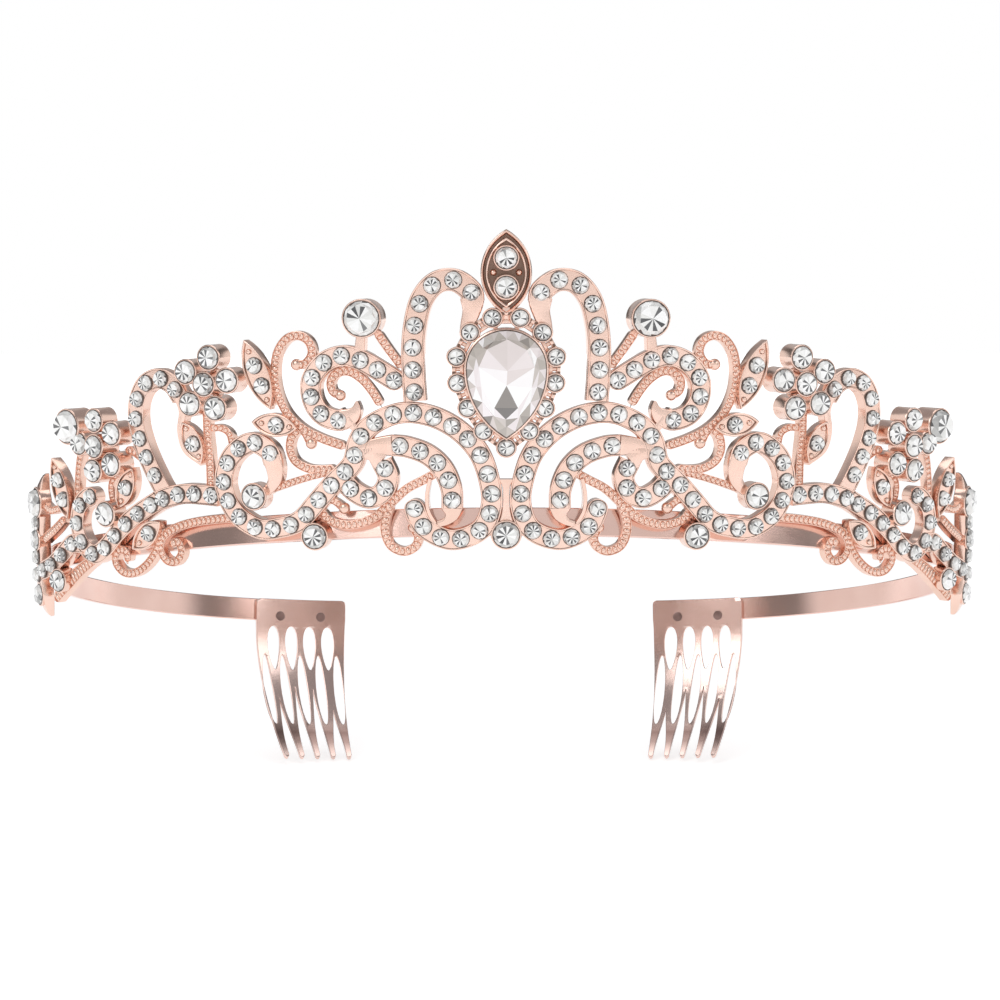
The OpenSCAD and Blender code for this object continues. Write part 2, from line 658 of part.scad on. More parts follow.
module lower_vine() {
    ribbons([CENTRE_VINE, CENTRE_SPUR, HANGING_LOOP, LEAF_RIM], 16);
    bead(CENTRE_SPUR[2][0], CENTRE_SPUR[2][1], 0.75);
    ribbons([LONG_VINE, END_VINE], 48);
    leaf(VINE_LEAF);
}

module leaf_spray() {
    for (s = LEAVES) leaf(s);
}

// Cups round a centre cup, tied to it by short bars
module blossom(cups) {
    for (s = cups) cup(s);
    for (i = [1 : len(cups) - 1]) {
        d = flat(cups[i] - cups[0]);
        on_panel(cups[0][0], cups[0][1], back, atan2(d[1], d[0])) translate([1.5, -0.5, 0])
            cube([norm(d) - 2.8, 1, 1.2]);
    }
}

module heart_loop() {
    set_ribbons([HEART_ROW, HEART_LOOP], 47.5, [HEART_SIDE]);
    ribbons([STEM, STEM_ARCH], 41);
}

module side_scroll() {
    set_ribbons([SIDE_SCROLL, SIDE_ROW], 62);
    ribbons([SIDE_STRUT], 66, top = vine_top - 0.3);
    cup(SIDE_BEZEL);
    cup(LOW_BEZEL);
}

module side_sprig() {
    blossom(SPRIG_FLOWER);
    cup(SPRIG_BALL);
    ribbons([SPRIG_STALK, SPRIG_STEM, SPRIG_FOOT], 57);
    for (s = SPRIG_LEAVES) leaf(s);
}

module end_motif() {
    ribbons(concat([END_PATH], END_TIES), 75);
    for (s = END_BEZELS) cup(s);
}

END_STONES = [[76.8, -3.95], [77, -9], [76.9, -11.6]];

module both() {
    children();
    on_left() children();
}

module arch_right() color(rose) placed() arch();
module arch_left() color(rose) placed() on_left() arch();
module arch_stones() color(clear_stone) placed() both() stone_row(ARCH, 1.2, 1.2, 2.95);
module main_scroll_right() color(rose) placed() main_scroll();
module main_scroll_left() color(rose) placed() on_left() main_scroll();
module main_scroll_stones() color(clear_stone) placed() {
    both() {
        stone_row(MAIN_SCROLL);
        cup_stone(BEZEL);
        cup_stone(DROP_BEZEL);
    }
    cup_stone(BASE_BEZEL);
}
module inner_scroll_right() color(rose) placed() inner_scroll();
module inner_scroll_left() color(rose) placed() on_left() inner_scroll();
module inner_scroll_stones() color(clear_stone) placed() both() {
    stone_row(INNER_SCROLL, 1.1, 1.1);
    stone_row(SMALL_LOOP, 1.1, 1.1);
}
module comma_scroll_right() color(rose) placed() comma_scroll();
module comma_scroll_left() color(rose) placed() on_left() comma_scroll();
module comma_scroll_stones() color(clear_stone) placed() both() stone_row(COMMA);
module ball_cup_right() color(rose) placed() ball_cup();
module ball_cup_left() color(rose) placed() on_left() ball_cup();
module ball_stones() color(clear_stone) placed() both() cup_stone(BALL);
module vine_right() color(rose) placed() vine();
module vine_left() color(rose) placed() on_left() vine();
module lower_vine_right() color(rose) placed() lower_vine();
module lower_vine_left() color(rose) placed() on_left() lower_vine();
module leaf_spray_right() color(rose) placed() leaf_spray();
module leaf_spray_left() color(rose) placed() on_left() leaf_spray();
module leaf_stones() color(clear_stone) placed() both() {
    for (s = LEAVES) leaf_stone(s);
    leaf_stone(VINE_LEAF);
}
module flower_right() color(rose) placed() blossom(FLOWER);
module flower_left() color(rose) placed() on_left() blossom(FLOWER);
module flower_stones() color(clear_stone) placed() both() for (s = FLOWER) cup_stone(s);
module heart_loop_right() color(rose) placed() heart_loop();
module heart_loop_left() color(rose) placed() on_left() heart_loop();
module heart_loop_stones() color(clear_stone) placed() both() {
    stone_row(HEART_ROW, 1, 1);
    stone_row(HEART_LOOP, 1.3, 2.6);
}
module side_scroll_right() color(rose) placed() side_scroll();
module side_scroll_left() color(rose) placed() on_left() side_scroll();
module side_scroll_stones() color(clear_stone) placed() both() {
    stone_row(SIDE_SCROLL);
    stone_row(SIDE_ROW, 2.4, 2.2);
    cup_stone(SIDE_BEZEL);
    cup_stone(LOW_BEZEL);
}
module side_sprig_right() color(rose) placed() side_sprig();
module side_sprig_left() color(rose) placed() on_left() side_sprig();
module side_sprig_stones() color(clear_stone) placed() both() {
    for (s = SPRIG_FLOWER) cup_stone(s);
    cup_stone(SPRIG_BALL);
    for (s = SPRIG_LEAVES) leaf_stone(s);
}
module end_motif_right() color(rose) placed() end_motif();
module end_motif_left() color(rose) placed() on_left() end_motif();
module end_motif_stones() color(clear_stone) placed() both() {
    for (s = END_BEZELS) cup_stone(s);
    for (q = END_STONES) on_panel(q[0], q[1], vine_top) stone(stone_r);
}

headband();
comb_left();
comb_right();
comb_spot_welds();
pear_cup();
pear_stone();
halo_frame();
halo_stones();
finial_frame();
finial_beads();
finial_stones();
centre_stem();
arch_left();
arch_right();
arch_stones();
main_scroll_left();
main_scroll_right();
main_scroll_stones();
inner_scroll_left();
inner_scroll_right();
inner_scroll_stones();
comma_scroll_left();
comma_scroll_right();
comma_scroll_stones();
ball_cup_left();
ball_cup_right();
ball_stones();
vine_left();
vine_right();
lower_vine_left();
lower_vine_right();
leaf_spray_left();
leaf_spray_right();
leaf_stones();
flower_left();
flower_right();
flower_stones();
heart_loop_left();
heart_loop_right();
heart_loop_stones();
side_scroll_left();
side_scroll_right();
side_scroll_stones();
side_sprig_left();
side_sprig_right();
side_sprig_stones();
end_motif_left();
end_motif_right();
end_motif_stones();
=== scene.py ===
"""Bridal tiara: an openwork panel of scrolls, leaves and flowers set with round stones, soldered to an
open hoop that carries a hair comb on each of its rear ends.

Most pieces are laid out flat in millimetres and bent to their place last: u runs along the panel or the
hoop from the front centre, v is the height, and w is the distance outwards from the hoop.
"""

import json
import math

import bmesh
import bpy
import numpy as np
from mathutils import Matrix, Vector

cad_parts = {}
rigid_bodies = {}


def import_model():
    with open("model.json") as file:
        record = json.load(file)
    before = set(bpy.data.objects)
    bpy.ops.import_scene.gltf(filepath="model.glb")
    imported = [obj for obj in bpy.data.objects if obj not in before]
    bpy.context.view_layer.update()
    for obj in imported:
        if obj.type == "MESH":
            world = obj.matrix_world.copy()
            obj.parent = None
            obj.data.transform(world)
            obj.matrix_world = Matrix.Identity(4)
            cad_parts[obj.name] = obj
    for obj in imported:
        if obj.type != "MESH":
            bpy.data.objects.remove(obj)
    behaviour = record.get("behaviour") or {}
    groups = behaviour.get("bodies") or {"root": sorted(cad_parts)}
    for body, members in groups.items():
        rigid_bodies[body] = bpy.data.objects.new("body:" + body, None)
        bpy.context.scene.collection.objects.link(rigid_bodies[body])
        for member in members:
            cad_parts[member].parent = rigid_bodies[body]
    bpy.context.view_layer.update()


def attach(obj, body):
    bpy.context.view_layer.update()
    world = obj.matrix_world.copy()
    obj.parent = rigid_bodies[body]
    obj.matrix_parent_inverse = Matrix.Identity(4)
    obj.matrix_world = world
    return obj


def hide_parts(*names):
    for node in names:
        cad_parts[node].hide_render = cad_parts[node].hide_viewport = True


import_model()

MM = 0.001

# ---- Sizes, in millimetres and degrees ----

FRONT_R, FRONT_A = 85.7, 46.9
TEMPLE_R, TEMPLE_A = 19.0, 66.4
REAR_R, REAR_A = 48.5, 173.2
BAND_H, BAND_T, HOOP_PITCH = 3.8, 0.9, 16.3
WALL_FRONT_R, WALL_FRONT_A, WALL_TEMPLE_R = 89.4, 43.6, 21.4

COMB_W, COMB_DROP, COMB_T, CURL_R, CURL_TOP = 16.4, 28.5, 0.7, 38.0, 5.0
TEETH, TOOTH_LEAN, TOOTH_W = 5, 2.2, 3.2
TOOTH_GAP = (COMB_W - TOOTH_W) / (TEETH - 1)
# Spot welds: distance from the comb's middle, and below the middle of the strip
WELD_X, WELD_DROP = 3.7, 1.1

BACK = BAND_T / 2
SET_TOP, VINE_TOP = BACK + 1.75, BACK + 1.4
SET_HALF, VINE_HALF = 1.4, 0.62
STONE_R, STONE_GAP, STONE_FOOT = 1.08, 2.65, 1.6
GIRDLE, CROWN = 0.75, 0.45
# Reach of a round stone's table and of its star facets, as shares of its radius
TABLE_R, STAR_R = 0.76, 0.89
CUP_FOOT, CUP_WALL, LEAF_FOOT = BACK + 0.16, 0.25, BACK + 0.23
PETAL_R, BALL_R = 1.5, 2.3
PEAR_W, PEAR_H, PEAR_V, PEAR_REACH = 10.0, 14.0, 20.6, 5.1

FRONT_END = FRONT_R * math.radians(FRONT_A)
TEMPLE_END = FRONT_END + TEMPLE_R * math.radians(TEMPLE_A - FRONT_A)
REAR_END = TEMPLE_END + REAR_R * math.radians(REAR_A - TEMPLE_A)
WALL_FRONT_END = WALL_FRONT_R * math.radians(WALL_FRONT_A)
COMB_MID = REAR_END - COMB_W / 2

# ---- Paths of the panel's right half: (u, v) or (u, v, half width) ----

MAIN_SCROLL = [
    (12.1, 3.2), (11.7, 1.2), (10.4, -0.8), (7, -2.2), (3.3, -0.8), (1.9, 2.5), (2.3, 6.2),
    (3.7, 9.7), (6.5, 12.6), (10, 14.3), (13.8, 14.6), (17.4, 13.1), (19.3, 10.9), (20.2, 7.8),
    (22.6, 5.3), (25, 2.6), (27.5, -0.1), (30.5, -1.2), (33.5, -1.4), (36.9, 0.6), (38.6, 4.3),
    (37.6, 8), (34.6, 10.2), (32, 9.3), (31.2, 7.6),
]
MAIN_TAIL = [(31.5, 8.4, 1.38), (31, 6.8, 1.25), (31.1, 5.1, 0.95), (32.2, 3.6, 0.6)]
INNER_SCROLL = [(14.9, 10.3), (12.9, 10.1), (10.2, 9.1), (8.2, 7.2), (7.1, 4.5), (7, 2)]
INNER_HEAD = [(19.2, 9.5, 0.7), (17.2, 10.1, 1.1), (14.9, 10.3, 1.4)]
INNER_TAIL = [(7, 2, 1.4), (7.1, 1, 0.9), (7.9, 0.2, 0.5), (8.9, -0.1, 0.4)]
SMALL_LOOP = [(16.3, 8.2), (15.4, 6), (16.2, 4), (18, 3.2), (19.9, 4), (21.2, 5.2)]
SMALL_HEAD = [(19, 9.2, 0.6), (17.5, 9.1, 1), (16.3, 8.2, 1.4)]
COMMA = [
    (13.4, 18.2), (15.4, 19.5), (18.9, 21.5), (21.5, 22.1), (24, 21.1), (25.7, 18.8),
    (25.6, 16.2), (24.2, 14.2), (22, 13.5), (20.8, 14),
]
COMMA_HOOK = [(21.4, 13.6, 1.38), (20.3, 14.1, 1.15), (19.6, 15, 0.7), (19.5, 16.1, 0.15)]
COMMA_FOOT = [(20.9, 13.8, 0.6), (19.7, 12.4, 0.5)]
ARCH = [
    (11.8, 16.2), (12, 19), (12.1, 22.5), (11.8, 26.2), (10.9, 29.6), (9, 31.8), (6.6, 32.1),
    (4.6, 30.7), (4.3, 29.3),
]
ARCH_FOOT = [(4.45, 29.9, 1.5), (4.35, 29.1, 1.45), (4.5, 27.9, 1.15), (4.9, 26.6, 0.95), (5.2, 25.4, 0.8)]
ARCH_HALF, ARCH_GAP = 1.5, 2.95

INNER_CURL = [
    (21.9, 16.8), (22.9, 17.4), (23.1, 18.7), (22.2, 19.8), (20.6, 20), (18.9, 19), (17.5, 17.4),
    (16.4, 15.6),
]
TALL_CURL = [
    (28, 20.8), (26.6, 21), (25.7, 22.4), (26.2, 24), (27.7, 24.7), (29.4, 24.1), (30.7, 22.1),
    (31, 19.2), (30.5, 16.6), (29.2, 14.2), (27.1, 12.3), (24.4, 11), (21.2, 10),
]
STALK = [(31.1, 20.6, 0.4), (31.7, 18, 0.5), (31.4, 15.2, 0.4)]
SPUR = [(27.4, 12.4, 0.6), (26.6, 11.5, 0.6), (26, 10.3, 0.7)]
SIDE_CURL = [(27.6, 12.4), (28.7, 11), (28.9, 9.4), (28.2, 7.9), (26.6, 7), (24.8, 6.8), (22.6, 7)]
BRANCH = [(22.8, 6.7, 0.5), (25.5, 6, 0.5), (28.4, 5.1, 0.5), (32, 3.8, 0.5)]

CENTRE_VINE = [
    (9.2, 6.6), (11, 5.6), (13, 4.5), (15, 2.7), (17.2, 0.7), (19.5, -0.3), (21.6, -0.5),
    (23.6, 0.1), (24.7, 1.4),
]
CENTRE_SPUR = [(24, 2.9, 0.5), (22.7, 2.6, 0.5), (21.5, 1.7, 0.6)]
HANGING_LOOP = [
    (15.1, 2.6), (15.8, 0.6), (15.9, -1.4), (15.1, -3.2), (13.4, -3.9), (11.9, -3.2), (11.5, -1.9),
    (12.2, -0.7),
]
LEAF_RIM = [(9.9, 5.9, 0.25), (10.3, 3.6, 0.25), (10.1, 1.6, 0.25), (9.2, -0.1, 0.25)]
LONG_VINE = [
    (36, -0.1), (40, -0.5), (44, -1.2), (47, -2.2), (49, -3.6), (49.4, -5.3), (48.4, -6.7),
    (46.8, -6.8), (45.8, -5.5), (46.4, -4.1), (47.8, -4.5),
]
END_VINE = [
    (49.4, -2.2), (50, -5), (51.6, -7.3), (54, -8.9), (56.4, -9), (57.9, -7.6), (57.3, -6),
    (55.7, -6.1), (55.5, -7.5),
]

HEART_ROW = [(39.6, 2.7), (42, 2.8), (44.6, 2.8), (47.2, 2.3), (49.5, 1.5)]
HEART_LOOP = [
    (45.4, 16), (46.9, 17.8), (49.2, 18.5), (51.6, 17.4), (52.9, 15), (53, 12.2), (52.2, 9.5),
    (51, 7), (49.2, 4), (48.4, 2.9),
]
HEART_SIDE = [(45.4, 16, 0.9), (45, 14, 0.6), (45.4, 11.4, 0.5), (44.6, 8.8, 0.45), (42, 7.1, 0.4)]
STEM = [(41.4, 14.2), (41.3, 11), (41, 8), (40.9, 3.6)]
STEM_ARCH = [(40.8, 11.9, 0.5), (39.2, 12, 0.5), (37.9, 11.3, 0.5), (37.4, 9.6, 0.5)]

SIDE_SCROLL = [
    (49.5, 1.5), (52, 0.1), (54.4, -1.4), (57, -3.5), (59.3, -5.7), (61.6, -6.9), (63.9, -5.8),
    (65.2, -3.3), (64.8, -0.6), (63, 1.1), (60.9, 1.3),
]
SIDE_ROW = [(64.2, -5.6), (66.6, -5.9), (68.8, -7.6), (71.4, -9.4), (74.4, -10.6), (76.6, -11)]
SIDE_STRUT = [(60.5, -7, 0.6), (64, -8.8, 0.9), (68, -11.6, 1.1), (71.5, -14.6, 0.9)]

SPRIG_STALK = [(51.8, 6.9, 0.6), (53.8, 8, 0.6), (55.4, 8.3, 0.6)]
SPRIG_STEM = [(64.2, 9, 0.7), (65.2, 5, 0.6), (65.6, 1, 0.6), (65.4, -2, 0.6)]
SPRIG_FOOT = [(57, 5, 0.5), (58.4, 3.2, 0.5), (58.2, 0.9, 0.5)]

BALL_STEM = [(18.9, 25, 0.6), (19.1, 22.8, 0.7)]
BALL_STALK = [(16.9, 25.3, 0.6), (15.3, 23, 0.6), (13.5, 20.6, 0.6)]
END_PATH = [
    (76.1, 3.4, 0.2), (76.3, 2, 0.8), (76.6, 0.4, 1.4), (76.6, -3, 1.3), (77, -7, 1.5), (76.8, -11, 1.4),
    (76.2, -14.6, 1.8), (75.6, -16.4, 1.1), (75.1, -17.6, 0.3),
]
END_TIES = [
    [(68.6, -2.4, 0.6), (71.5, -4.4, 0.7), (75.6, -6.4, 0.7)],
    [(69.6, -1, 0.5), (72.6, -1.6, 0.6), (75.6, -0.8, 0.6)],
]

# Round settings: (u, v, stone radius, height of the stone's girdle above the cup's foot)
BEZEL = (33.7, 3, 1.6, 2.4)
DROP_BEZEL = (25.2, -2.1, 1.6, 2.2)
BASE_BEZEL = (0, -1.4, 1.7, 2.4)
SIDE_BEZEL = (58.2, -0.8, 1.6, 2.6)
LOW_BEZEL = (69, -11.4, 1.5, 2.2)
BALL = (18.4, 27.1, BALL_R, 3.2)
FLOWER = [
    (40.6, 18, PETAL_R, 3), (39.8, 21.6, PETAL_R, 3), (43.4, 19.6, PETAL_R, 3),
    (37.1, 18.6, PETAL_R, 3), (38.9, 14.8, PETAL_R, 3), (42.8, 15.3, PETAL_R, 3),
]
SPRIG_FLOWER = [
    (59.3, 8.7, PETAL_R, 3.4), (56.3, 10.6, PETAL_R, 3), (59.6, 12.3, PETAL_R, 3),
    (62.7, 8.9, PETAL_R, 3), (60, 5.2, PETAL_R, 3), (56.5, 6.3, PETAL_R, 3),
]
SPRIG_BALL = (64.8, 11.2, BALL_R, 3.4)
END_BEZELS = [(76.6, -0.9, 2.1, 1.8), (77, -6.4, 1.5, 1.8), (76.4, -14.5, 1.5, 1.6)]
END_STONES = [(76.8, -3.95), (77, -9), (76.9, -11.6)]

# Leaves: (u, v, length, turn, distances of its stones from its middle, distances of its beads)
LEAVES = [
    (33.3, 19.4, 10, 68, (-1.6, 1.3), (-3.6, 3.3)),
    (30.9, 12.7, 6.6, 6, (-0.2,), (-2.1, 1.9)),
    (43.4, 9.9, 6.4, 62, (-0.2,), (-2.1, 2.1)),
]
VINE_LEAF = (51.4, -3.4, 6.6, -40, (-0.4,), (1.8,))
SPRIG_LEAVES = [
    (55.1, 3, 6.6, -64, (0,), (-2.1, 2.1)),
    (68.8, 2, 9.2, 68, (-1.7, 1.2), (3.2,)),
]

# Middles of the halo's cups on the right, from beside the finial down to the bottom
HALO = [(1.75, 27.2), (4.6, 25.3), (6.3, 22.1), (6.2, 18.7), (4.9, 15.4), (2.9, 12.4), (0, 10.2)]
HALO_R, HALO_H = 1.05, 2.7
FINIAL_V, FINIAL_L, FINIAL_HALF = 33.1, 11.3, 3.3
FINIAL_STONES = [(0, 35, 1.4, 1.9), (0, 31.2, 1.4, 1.9)]


# ---- The hoop and the bent panel ----


def hoop_at(s):
    """Direction in radians and place, in the hoop's plane, of distances s from the front centre."""
    s = np.asarray(s, float)
    front, temple = math.radians(FRONT_A), math.radians(TEMPLE_A)
    temple_c = np.array([(FRONT_R - TEMPLE_R) * math.sin(front), FRONT_R - (FRONT_R - TEMPLE_R) * math.cos(front)])
    rear_c = temple_c + (REAR_R - TEMPLE_R) * np.array([-math.sin(temple), math.cos(temple)])
    turn = np.where(
        s < FRONT_END,
        s / FRONT_R,
        np.where(s < TEMPLE_END, front + (s - FRONT_END) / TEMPLE_R, temple + (s - TEMPLE_END) / REAR_R),
    )
    r = np.where(s < FRONT_END, FRONT_R, np.where(s < TEMPLE_END, TEMPLE_R, REAR_R))
    cx = np.where(s < FRONT_END, 0.0, np.where(s < TEMPLE_END, temple_c[0], rear_c[0]))
    cy = np.where(s < FRONT_END, FRONT_R, np.where(s < TEMPLE_END, temple_c[1], rear_c[1]))
    return turn, cx + r * np.sin(turn), cy - r * np.cos(turn)


def lowest_tip():
    """How far the comb tips lie below the hoop's front centre."""
    curl_in = CURL_R - math.sqrt(CURL_R**2 - (COMB_DROP - CURL_TOP) ** 2)
    last = (TEETH - 1) / 2 * TOOTH_GAP + TOOTH_LEAN
    turn, _, y = (float(n) for n in hoop_at(COMB_MID))
    tip_y = y + last * math.sin(turn) + (curl_in + BAND_T / 2 + last**2 / (2 * REAR_R)) * math.cos(turn)
    pitch = math.radians(HOOP_PITCH)
    return -tip_y * math.sin(pitch) + (BAND_H / 2 - COMB_DROP) * math.cos(pitch)


def middle_y():
    """How far the middle of the whole piece lies behind the hoop's front centre."""
    pitch = math.radians(HOOP_PITCH)
    end = float(hoop_at(REAR_END)[2]) - BAND_T / 2 * math.cos(math.radians(REAR_A))
    rear = end * math.cos(pitch) + BAND_H / 2 * math.sin(pitch)
    return (rear - BACK - PEAR_REACH) / 2


ORIGIN = np.array([0.0, middle_y(), lowest_tip()])


def bend_panel(points):
    """Flat (u, v, w) to metres in the shared frame, round the panel's wall."""
    u, v, w = points.T
    reach = np.abs(u)
    front = math.radians(WALL_FRONT_A)
    is_front = reach < WALL_FRONT_END
    turn = np.where(is_front, reach / WALL_FRONT_R, front + (reach - WALL_FRONT_END) / WALL_TEMPLE_R)
    r = np.where(is_front, WALL_FRONT_R, WALL_TEMPLE_R) + w
    lag = WALL_FRONT_R - WALL_TEMPLE_R
    cx = np.where(is_front, 0.0, lag * math.sin(front))
    cy = np.where(is_front, WALL_FRONT_R, WALL_FRONT_R - lag * math.cos(front))
    x = np.sign(u) * (cx + r * np.sin(turn))
    return (np.column_stack([x, cy - r * np.cos(turn), v]) - ORIGIN) * MM


def bend_hoop(points):
    """Flat (s, height, w) to metres in the shared frame, along the sloping hoop."""
    s, h, w = points.T
    turn, x, y = hoop_at(np.abs(s))
    x = np.sign(s) * (x + w * np.sin(turn))
    y = y - w * np.cos(turn)
    pitch = math.radians(HOOP_PITCH)
    place = np.column_stack([x, y * math.cos(pitch) + h * math.sin(pitch), h * math.cos(pitch) - y * math.sin(pitch)])
    return (place - ORIGIN) * MM


def bend_comb(points):
    """Flat comb (x from its middle, minus the depth below the hoop's top, depth into the sheet)."""
    x, low, t = points.T
    depth = -low
    fall = np.clip(depth - CURL_TOP, 0, None) / CURL_R
    lean = np.sqrt(1 - fall**2)
    w = -(BAND_T / 2) - CURL_R * (1 - lean) - t * lean
    return bend_hoop(np.column_stack([COMB_MID - x, BAND_H / 2 - depth + t * fall, w]))


# ---- Flat shapes ----


def smooth_path(points, half, step=0.3, round_start=False, round_end=False):
    """Even points (u, v, half width) along the smooth curve through the given ones."""
    knots = np.array([tuple(p) + ((half,) if len(p) == 2 else ()) for p in points], float)
    knots = np.vstack([2 * knots[0] - knots[1], knots, 2 * knots[-1] - knots[-2]])
    dense = []
    for a, b, c, d in zip(knots, knots[1:], knots[2:], knots[3:]):
        t = np.linspace(0, 1, 20, endpoint=False)[:, None]
        dense.append((2 * b + (c - a) * t + (2 * a - 5 * b + 4 * c - d) * t**2 + (3 * b - a - 3 * c + d) * t**3) / 2)
    dense = np.vstack(dense + [knots[-2]])
    run = np.concatenate([[0], np.cumsum(np.linalg.norm(np.diff(dense[:, :2], axis=0), axis=1))])
    total = run[-1]
    places = np.linspace(0, total, max(3, round(total / step) + 1))
    ease = 1 - np.cos(np.linspace(0, math.pi / 2, 8))
    start_r, end_r = dense[0, 2], dense[-1, 2]
    if round_start:
        places = np.concatenate([start_r * ease, places[places > start_r]])
    if round_end:
        places = np.concatenate([places[places < total - end_r], (total - end_r * ease)[::-1]])
    path = np.column_stack([np.interp(places, run, dense[:, k]) for k in range(3)])
    for rounded, r, gap in ((round_start, start_r, places), (round_end, end_r, total - places)):
        if rounded:
            near = np.clip(1 - gap / r, 0, 1)
            path[:, 2] *= np.sqrt(np.clip(1 - near**2, 0.0009, 1))
    return path


def vesica_loop(length, half, height, steps=18):
    """Leaf outline at one height: two equal arcs that meet in points."""
    r = (length**2 / 4 + half**2) / (2 * half)
    a = math.asin(min(1.0, length / 2 / r))
    turn = np.linspace(-a, a, steps, endpoint=False)
    one = np.column_stack([-r * np.sin(turn), r * np.cos(turn) - (r - half)])
    return np.column_stack([np.vstack([one, -one]), np.full(2 * steps, height)])


def circle_loop(r, height, steps=32):
    turn = np.arange(steps) * 2 * math.pi / steps
    return np.column_stack([r * np.cos(turn), r * np.sin(turn), np.full(steps, height)])


def pear_loop(grow, height, steps=14):
    """Pear outline at one height: a round head and two long arcs that meet in the point below."""
    r = PEAR_W / 2
    low = PEAR_H - r
    flank = (low**2 + r**2) / (2 * r)
    tip = math.acos((flank - r) / (flank + grow))
    head = np.linspace(0, math.pi, 2 * steps, endpoint=False)
    left = np.linspace(0, tip, steps, endpoint=False)
    arc = flank + grow
    xs = np.concatenate(
        [(r + grow) * np.cos(head), -arc * np.cos(left) + flank - r, -(flank - r) + arc * np.cos(tip - left)]
    )
    ys = np.concatenate([(r + grow) * np.sin(head), -arc * np.sin(left), -arc * np.sin(tip - left)])
    return np.column_stack([xs, ys, np.full(len(xs), height)])


def stack(loops):
    """Closed skin over loops of equal length, from a bottom cap to a top cap."""
    n = len(loops[0])
    faces = [tuple(range(n))[::-1]]
    for k in range(len(loops) - 1):
        for i in range(n):
            j = (i + 1) % n
            faces.append((k * n + i, k * n + j, (k + 1) * n + j, (k + 1) * n + i))
    faces.append(tuple((len(loops) - 1) * n + i for i in range(n)))
    return np.vstack(loops), faces


def ring_skin(loops):
    """Closed skin round a hole: the last loop joins the first."""
    n = len(loops[0])
    faces = []
    for k in range(len(loops)):
        m = (k + 1) % len(loops)
        for i in range(n):
            j = (i + 1) % n
            faces.append((k * n + i, k * n + j, m * n + j, m * n + i))
    return np.vstack(loops), faces


def soft_box(x0, x1, y0, y1, z0, z1, soft=0.12):
    """Block with its top edges rounded over."""
    def loop(inset, z):
        left, right, near, far = x0 + inset, x1 - inset, y0 + inset, y1 - inset
        return np.array([(left, near, z), (right, near, z), (right, far, z), (left, far, z)])

    return stack([loop(0, z0), loop(0, z1 - soft), loop(soft * 0.3, z1 - soft * 0.3), loop(soft, z1)])


def turned(points, degrees, u=0.0, v=0.0, w=0.0):
    a = math.radians(degrees)
    x, y, z = points.T
    return np.column_stack([u + x * math.cos(a) - y * math.sin(a), v + x * math.sin(a) + y * math.cos(a), z + w])


def brilliant(r, body, crown):
    """Round stone standing on its foot, with the (sector, ring) of each face: 0 table, 1 kites, 2 girdle, 3 side."""
    def at(radius, turn, z):
        return (radius * math.cos(turn), radius * math.sin(turn), z)

    step = math.pi / 8
    points = [(0, 0, body + crown)]
    points += [at(r * (TABLE_R if i % 2 == 0 else TABLE_R * math.cos(step)), i * step, body + crown) for i in range(16)]
    points += [at(r * STAR_R, (2 * k + 1) * step, body + crown * 0.5) for k in range(8)]
    points += [at(r, i * step, body) for i in range(16)]
    points += [at(r * 0.96, i * step, 0) for i in range(16)]
    table, star, girdle, foot = 1, 17, 25, 41
    faces, tags = [], []
    for i in range(16):
        j = (i + 1) % 16
        k = i // 2
        faces += [
            (0, table + i, table + j),
            (star + k, girdle + i, girdle + j),
            (girdle + i, foot + i, foot + j, girdle + j),
        ]
        tags += [(i, 0), (i, 2), (i, 3)]
    for k in range(8):
        a, b = 2 * k, (2 * k + 2) % 16
        faces += [
            (table + a, star + k, table + b, table + a + 1),
            (table + a, star + (k - 1) % 8, girdle + a, star + k),
        ]
        tags += [(a, 1), (a, 1)]
    faces.append(tuple(foot + i for i in range(16))[::-1])
    tags.append((0, 3))
    return np.array(points), faces, tags


def sparkle(tags, count, seed, pale=0.0):
    """Painted brightness of every facet of count stones, from 0, dark, to 1, white, standing in for their reflections
    and sparkle: a fan of dark spikes in a pale stone.
    """
    rng = np.random.default_rng(seed)
    tones = []
    for _ in range(count):
        wedge = rng.uniform(0.74, 1.0, size=16)
        fan, width = rng.integers(16), rng.integers(3, 6)
        for k in range(width):
            wedge[(fan + 2 * k) % 16] = rng.uniform(0.0, 0.2)
        wedge[(fan + 10 + rng.integers(3)) % 16] = rng.uniform(0.05, 0.4)
        for sector, ring in tags:
            spike = wedge[sector] < 0.3
            tone = wedge[sector] + rng.uniform(-0.08, 0.08) + pale
            if ring == 1:
                tone = rng.uniform(0.45, 0.75) if spike else 0.85 * tone + rng.uniform(0, 0.18)
            if ring == 2:
                tone = rng.uniform(0.0, 0.35) if spike else rng.uniform(0.65, 1.0)
            tones.append(0.45 if ring == 3 else min(1.0, max(0.0, tone)))
    return tones


# ---- Collecting shapes into pieces ----


class Piece:
    """Closed shapes laid out flat, kept apart by finish until they are bent and become one mesh."""

    def __init__(self):
        self.points, self.faces, self.finishes, self.tones, self.size = [], [], [], [], 0

    def add(self, points, faces, finish, tones=None):
        points = np.asarray(points, float)
        if volume(points, faces) < 0:
            faces = [tuple(reversed(f)) for f in faces]
        self.points.append(points)
        self.faces += [tuple(i + self.size for i in f) for f in faces]
        self.finishes += [finish] * len(faces)
        self.tones += list(tones) if tones is not None else [1.0] * len(faces)
        self.size += len(points)

    def add_mesh(self, mesh, finish, tones=None):
        points = np.empty(len(mesh.vertices) * 3)
        mesh.vertices.foreach_get("co", points)
        self.add(points.reshape(-1, 3), [tuple(p.vertices) for p in mesh.polygons], finish, tones)
        bpy.data.meshes.remove(mesh)


def volume(points, faces):
    total = 0.0
    for f in faces:
        a = points[f[0]]
        for i in range(1, len(f) - 1):
            total += float(np.dot(a, np.cross(points[f[i]], points[f[i + 1]])))
    return total


